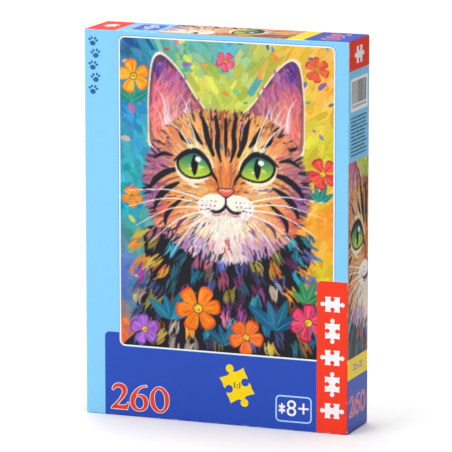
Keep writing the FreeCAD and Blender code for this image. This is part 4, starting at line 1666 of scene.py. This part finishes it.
@dataclass
class LoosePieces:
    """The jigsaw pieces in the bag, each with its own part of the painting on one side."""

    canvas: Canvas
    rows: int = 20
    columns: int = 13
    printed_up: float = 0.62
    side: float = 17.7
    chance: random.Random = field(default_factory=lambda: random.Random(260))

    def build(self) -> None:
        """Make every row of pieces."""
        material = self.finish()
        for row in range(self.rows):
            node = "puzzle_row_%02d" % (row + 1)
            obj = self.row_of_pieces(node, row)
            dress(obj, material)
            hand_over(obj, "bag", node)

    def row_of_pieces(self, node: str, row: int) -> Object:
        """A clean copy of a row's pieces with the painting's colours on them.

        Args:
            node: the CAD node of the row.
            row: which row of the picture it is, from the top.

        Returns:
            The new object.
        """
        obj = linked("pieces_" + node[-2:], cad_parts[node].data.copy())
        with editing(obj):
            bpy.ops.mesh.remove_doubles(threshold=MERGE)
            bpy.ops.mesh.dissolve_limited(angle_limit=math.radians(1.0))
            close_up(MERGE)
        self.colour(obj.data, row)
        return obj

    def colour(self, mesh: Mesh, row: int) -> None:
        """Mark each piece's printed face, and give it its colours and its place on the picture."""
        shape = bmesh.new()
        shape.from_mesh(mesh)
        shape.faces.ensure_lookup_table()
        printed = shape.faces.layers.float.new("printed")
        paints = [shape.loops.layers.float_color.new("paint_%d" % (index + 1)) for index in range(3)]
        plan = shape.loops.layers.uv.new("picture")
        left = set(shape.faces)
        column = 0
        while left:
            faces = self.island(left)
            widest = max(faces, key=lambda face: face.calc_area())
            normal = widest.normal.copy()
            if (normal.y > 0.0) == (self.chance.random() < self.printed_up):
                normal = -normal
            right = normal.orthogonal().normalized()
            up = normal.cross(right)
            middle = widest.calc_center_median()
            loops = []
            for face in faces:
                face[printed] = 1.0 if face.normal.dot(normal) > 0.9 else 0.0
                loops += face.loops
            offs = [loop.vert.co - middle for loop in loops]
            flat = np.array([(off.dot(right), off.dot(up)) for off in offs]) / MM / self.side
            for loop, place in zip(loops, flat):
                loop[plan].uv = (place[0] + column, place[1] + row)
            x = (column + 0.5 + flat[:, 0]) * self.canvas.width / self.columns
            y = (row + 0.5 - flat[:, 1]) * self.canvas.height / self.rows
            for paint, (aside, down) in zip(paints, ((0.0, 0.0), (2.6, -2.2), (-2.2, 2.8))):
                for loop, tone in zip(loops, lit(self.canvas.sample(x + aside, y + down))):
                    loop[paint] = (*tone, 1.0)
            column += 1
        shape.to_mesh(mesh)
        shape.free()

    @staticmethod
    def island(left: set) -> list:
        """Take one piece's faces out of those that are left."""
        start = min(left, key=lambda face: face.index)
        found = [start]
        left.discard(start)
        for face in found:
            for edge in face.edges:
                for other in edge.link_faces:
                    if other in left:
                        left.discard(other)
                        found.append(other)
        return found

    def finish(self) -> Material:
        """Painted and varnished on one side, bare grey board on the other and at the cut."""
        material, steps, shader = empty_material("puzzle_board")
        plan = steps.add("ShaderNodeUVMap", uv_map="picture").outputs["UV"]
        paints = [steps.add("ShaderNodeVertexColor", layer_name="paint_%d" % (index + 1))
                  for index in range(3)]
        stretched = steps.feed(steps.add("ShaderNodeMapping"), Vector=plan, Scale=(8.0, 2.6, 1.0),
                               Rotation=(0.0, 0.0, 0.6))
        where = stretched.outputs["Vector"]
        strokes = steps.noise(where, 1.0, 2.0)
        patches = steps.noise(where, 0.8, 1.0)
        first = steps.smoothstep(strokes, 0.48, 0.53)
        second = steps.smoothstep(patches, 0.56, 0.60)
        colour = steps.mix(first, paints[0].outputs["Color"], paints[1].outputs["Color"])
        second = steps.maths("MULTIPLY", second, 0.85)
        colour = steps.mix(second, colour, paints[2].outputs["Color"])
        lights = steps.noise(where, 3.0, 3.0)
        tone = steps.maths("MULTIPLY_ADD", lights, 0.5, 0.90)
        colour = tinted(steps, colour, tone)
        board = EFFECTS.place(steps, "board_fibre", Where=place_of(steps),
                              Base=linear((204, 201, 194)), Contrast=1.0)
        mask = steps.add("ShaderNodeAttribute", attribute_name="printed").outputs["Fac"]
        steps.feed(shader, Base_Color=steps.mix(mask, board.outputs["Color"], colour),
                   Roughness=steps.maths("MULTIPLY_ADD", mask, -0.5, 0.88))
        bump(steps, shader, board.outputs["Height"], 0.00004, 0.3)
        return material


@dataclass
class FilmBag:
    """The clear bag round the pieces: film that lies over them, tapers and ends in a seal."""

    cell: float = 3.0
    clearance: float = 0.45
    shoulder: float = 184.0
    seal: float = 9.0
    wrinkle: float = 0.6
    gather: float = 1.6
    crimp: float = 0.5

    def build(self) -> None:
        """Blow the bag up round its pieces and dress it."""
        self.low, self.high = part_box("bag")
        obj = self.shell()
        self.drape(obj)
        only(obj)
        bpy.ops.object.shade_smooth()
        dress(obj, self.finish())
        hand_over(obj, "bag", "bag")

    def shell(self) -> Object:
        """A closed box of small faces with the bag's outer size."""
        obj = fresh(bpy.ops.mesh.primitive_cube_add, "film_bag", size=1.0,
                    location=(self.low + self.high) / 2.0)
        obj.scale = self.high - self.low
        settle(obj)
        with editing(obj):
            for way, count in (((1, 0, 0), 66), ((0, 0, 1), 88), ((0, 1, 0), 8)):
                for index in range(1, count):
                    bpy.ops.mesh.select_all(action="SELECT")
                    bpy.ops.mesh.bisect(plane_co=self.low.lerp(self.high, index / count), plane_no=way)
        return obj

    def fronts(self) -> tuple[np.ndarray, np.ndarray]:
        """How far the pieces stand forward, over the bag's width and height.

        Returns:
            The corner of the map, and the map itself, across by up.
        """
        points = np.vstack([places_of(node.data) for name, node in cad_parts.items()
                            if name.startswith("puzzle_row")])
        step = self.cell * MM
        corner = np.array([self.low.x, self.low.z])
        across = int((self.high.x - self.low.x) / step) + 2
        up = int((self.high.z - self.low.z) / step) + 2
        heights = np.full((across, up), self.high.y - 0.002)
        cells = ((points[:, [0, 2]] - corner) / step).astype(int)
        np.minimum.at(heights, (np.clip(cells[:, 0], 0, across - 1), np.clip(cells[:, 1], 0, up - 1)),
                      points[:, 1])
        heights = np.min(self.around(heights), axis=0)
        soft = heights
        for _ in range(3):
            soft = np.minimum(np.mean(self.around(soft), axis=0), heights)
        return corner, soft

    @staticmethod
    def around(heights: np.ndarray) -> list[np.ndarray]:
        """A map and its eight copies that are moved by a cell."""
        across, up = heights.shape
        padded = np.pad(heights, 1, mode="edge")
        return [padded[i:i + across, j:j + up] for i in range(3) for j in range(3)]

    def drape(self, obj: Object) -> None:
        """Lay the film over the pieces, draw it in above them and wrinkle it."""
        corner, heights = self.fronts()
        mesh = obj.data
        places = places_of(mesh)
        x, z = places[:, 0].copy(), places[:, 2].copy()
        depth = (self.high.y - places[:, 1]) / (self.high.y - self.low.y)
        front = between(heights, (x - corner[0]) / (self.cell * MM) - 0.5,
                        (z - corner[1]) / (self.cell * MM) - 0.5) - self.clearance * MM
        seal_low = self.high.z - self.seal * MM
        rise = np.clip((z - self.low.z - self.shoulder * MM)
                       / (seal_low - self.low.z - self.shoulder * MM), 0.0, 1.0)
        slope = self.low.y + 0.0022 + (self.high.y - 0.0007 - self.low.y - 0.0022) * rise ** 0.8
        across, up = x / MM, z / MM
        ridge = np.sin(across * 0.42 + 2.2 * np.sin(across * 0.11) + up * 0.03)
        ridge += 0.5 * np.sin(across * 0.97 - up * 0.08 + 1.5 * np.sin(across * 0.23))
        slope = slope + ridge * 4.0 * rise * (1.0 - rise) * self.gather * MM
        slope = slope - (np.sin(up * 3.2) * 0.5 + 0.5) * self.crimp * MM * (rise > 0.999)
        front = np.where(rise > 0.0, slope, front)
        front = np.clip(front, self.low.y, self.high.y - 0.0006)
        folds = (np.sin(across * 0.21 + up * 0.34) * np.sin(up * 0.17 - across * 0.08)
                 + 0.5 * np.sin(across * 0.9 + np.sin(up * 0.2) * 3.0))
        front = front - (folds * 0.5 + 0.5) * self.wrinkle * MM * (rise < 0.001)
        places[:, 1] = self.high.y - depth * (self.high.y - front)
        rounding = np.clip(1.0 - rise, 0.0, 1.0)
        edge = 1.0 - (np.abs(depth - 0.5) * 2.0) ** 3 * 0.006 * rounding
        places[:, 0] = x * edge
        move_to(mesh, places)

    @staticmethod
    def finish() -> Material:
        """Clear glossy film with a fine crinkle."""
        material, steps, shader = empty_material("clear_film")
        crinkle = steps.noise(place_of(steps), 110.0, 3.0)
        creases = steps.noise(place_of(steps), 45.0, kind="ShaderNodeTexVoronoi")
        height = steps.maths("ADD", crinkle, creases)
        haze = steps.maths("MULTIPLY_ADD", crinkle, 0.10, 0.09)
        steps.feed(shader, Base_Color=(0.92, 0.95, 0.98, 1.0), Roughness=0.08, Specular_IOR_Level=0.7,
                   Alpha=haze)
        bump(steps, shader, height, 0.0006, 0.5)
        return material


# The studio

@dataclass
class Studio:
    """A pale floor, soft lights and the camera."""

    azimuth: float = 21.0
    elevation: float = 10.5
    distance: float = 2.5
    lens: float = 319.0
    floor_size: float = 9.0

    def build(self) -> None:
        """Set up the floor, the lights and the camera."""
        self.floor()
        self.flag()
        self.surround()
        self.light("key_light", (-1.2, -2.0, 1.3), 1.5, 26.5)
        self.light("rear_light", (-0.8, 1.6, 2.1), 1.2, 12.0)
        self.overhead()
        self.camera()
        bpy.context.scene.view_settings.view_transform = "Standard"

    def floor(self) -> None:
        """The pale floor."""
        floor = fresh(bpy.ops.mesh.primitive_plane_add, "floor", size=self.floor_size,
                      location=(0.0, 0.0, CAD_BOX[0].z - 0.0001))
        settle(floor)
        material, steps, shader = empty_material("pale_floor")
        cloud = steps.noise(place_of(steps), 3.0, 2.0)
        steps.feed(shader, Roughness=0.9,
                   Base_Color=steps.mix(cloud, linear((248, 248, 248)), linear((252, 252, 252))))
        dress(floor, material)

    @staticmethod
    def flag() -> None:
        """A dark board on the right, which only shows as a reflection in the box's side."""
        board = fresh(bpy.ops.mesh.primitive_plane_add, "dark_flag", size=1.0,
                      location=(CAD_BOX[1].x + 0.12, 0.45, 0.45), rotation=(0.0, math.pi / 2.0, 0.0))
        board.scale = (0.9, 2.0, 1.0)
        settle(board)
        for rays in ("camera", "diffuse", "transmission", "shadow"):
            setattr(board, "visible_" + rays, False)
        material, _, shader = empty_material("dark_board")
        shader.inputs["Base Color"].default_value = (0.02, 0.02, 0.02, 1.0)
        dress(board, material)

    @staticmethod
    def surround() -> None:
        """The light of a white room, darker on the right."""
        world = bpy.data.worlds.new("white_room")
        bpy.context.scene.world = world
        world.use_nodes = True
        steps = Nodes(world.node_tree)
        sky = world.node_tree.nodes["Background"]
        sky.inputs["Color"].default_value = (1.0, 1.0, 1.0, 1.0)
        parts = steps.add("ShaderNodeSeparateXYZ")
        steps.link(steps.add("ShaderNodeTexCoord").outputs["Generated"], parts.inputs[0])
        shaded = steps.smoothstep(parts.outputs["X"], -0.3, 0.6)
        strength = steps.maths("MULTIPLY_ADD", shaded, -0.28, 0.40)
        seen = steps.add("ShaderNodeLightPath").outputs["Is Camera Ray"]
        steps.link(steps.maths("MAXIMUM", strength, seen), sky.inputs["Strength"])

    @staticmethod
    def light(name: str, place: tuple[float, float, float], size: float, power: float) -> None:
        """A square soft light that shines at the box."""
        data = bpy.data.lights.new(name, "AREA")
        data.size = size
        data.energy = power
        lamp = linked(name, data)
        lamp.location = place
        aim = (CAD_BOX[0] + CAD_BOX[1]) / 2.0 - Vector(place)
        lamp.rotation_euler = aim.to_track_quat("-Z", "Y").to_euler()

    @staticmethod
    def overhead() -> None:
        """A wide soft light from straight above, the same over all of the floor."""
        data = bpy.data.lights.new("overhead_light", "SUN")
        data.energy = 2.05
        data.angle = math.radians(40.0)
        linked("overhead_light", data)

    def camera(self) -> None:
        """The camera, to the right of the box and a little above it."""
        data = bpy.data.cameras.new("camera")
        data.lens = self.lens
        camera = linked("camera", data)
        turn, rise = math.radians(self.azimuth), math.radians(self.elevation)
        back = Vector((math.sin(turn) * math.cos(rise), -math.cos(turn) * math.cos(rise), math.sin(rise)))
        camera.location = (CAD_BOX[0] + CAD_BOX[1]) / 2.0 + back * self.distance
        camera.rotation_euler = (-back).to_track_quat("-Z", "Y").to_euler()
        bpy.context.scene.camera = camera


def main() -> None:
    """Build everything in order."""
    logging.basicConfig(level=logging.INFO, format="%(message)s")
    canvas = CatPainting().paint()
    LOG.info("painting: %d by %d cells", canvas.paint.shape[1], canvas.paint.shape[0])
    Boards().build()
    LidPrint(canvas).build()
    LoosePieces(canvas).build()
    FilmBag().build()
    Studio().build()


if __name__ == "__main__":
    main()
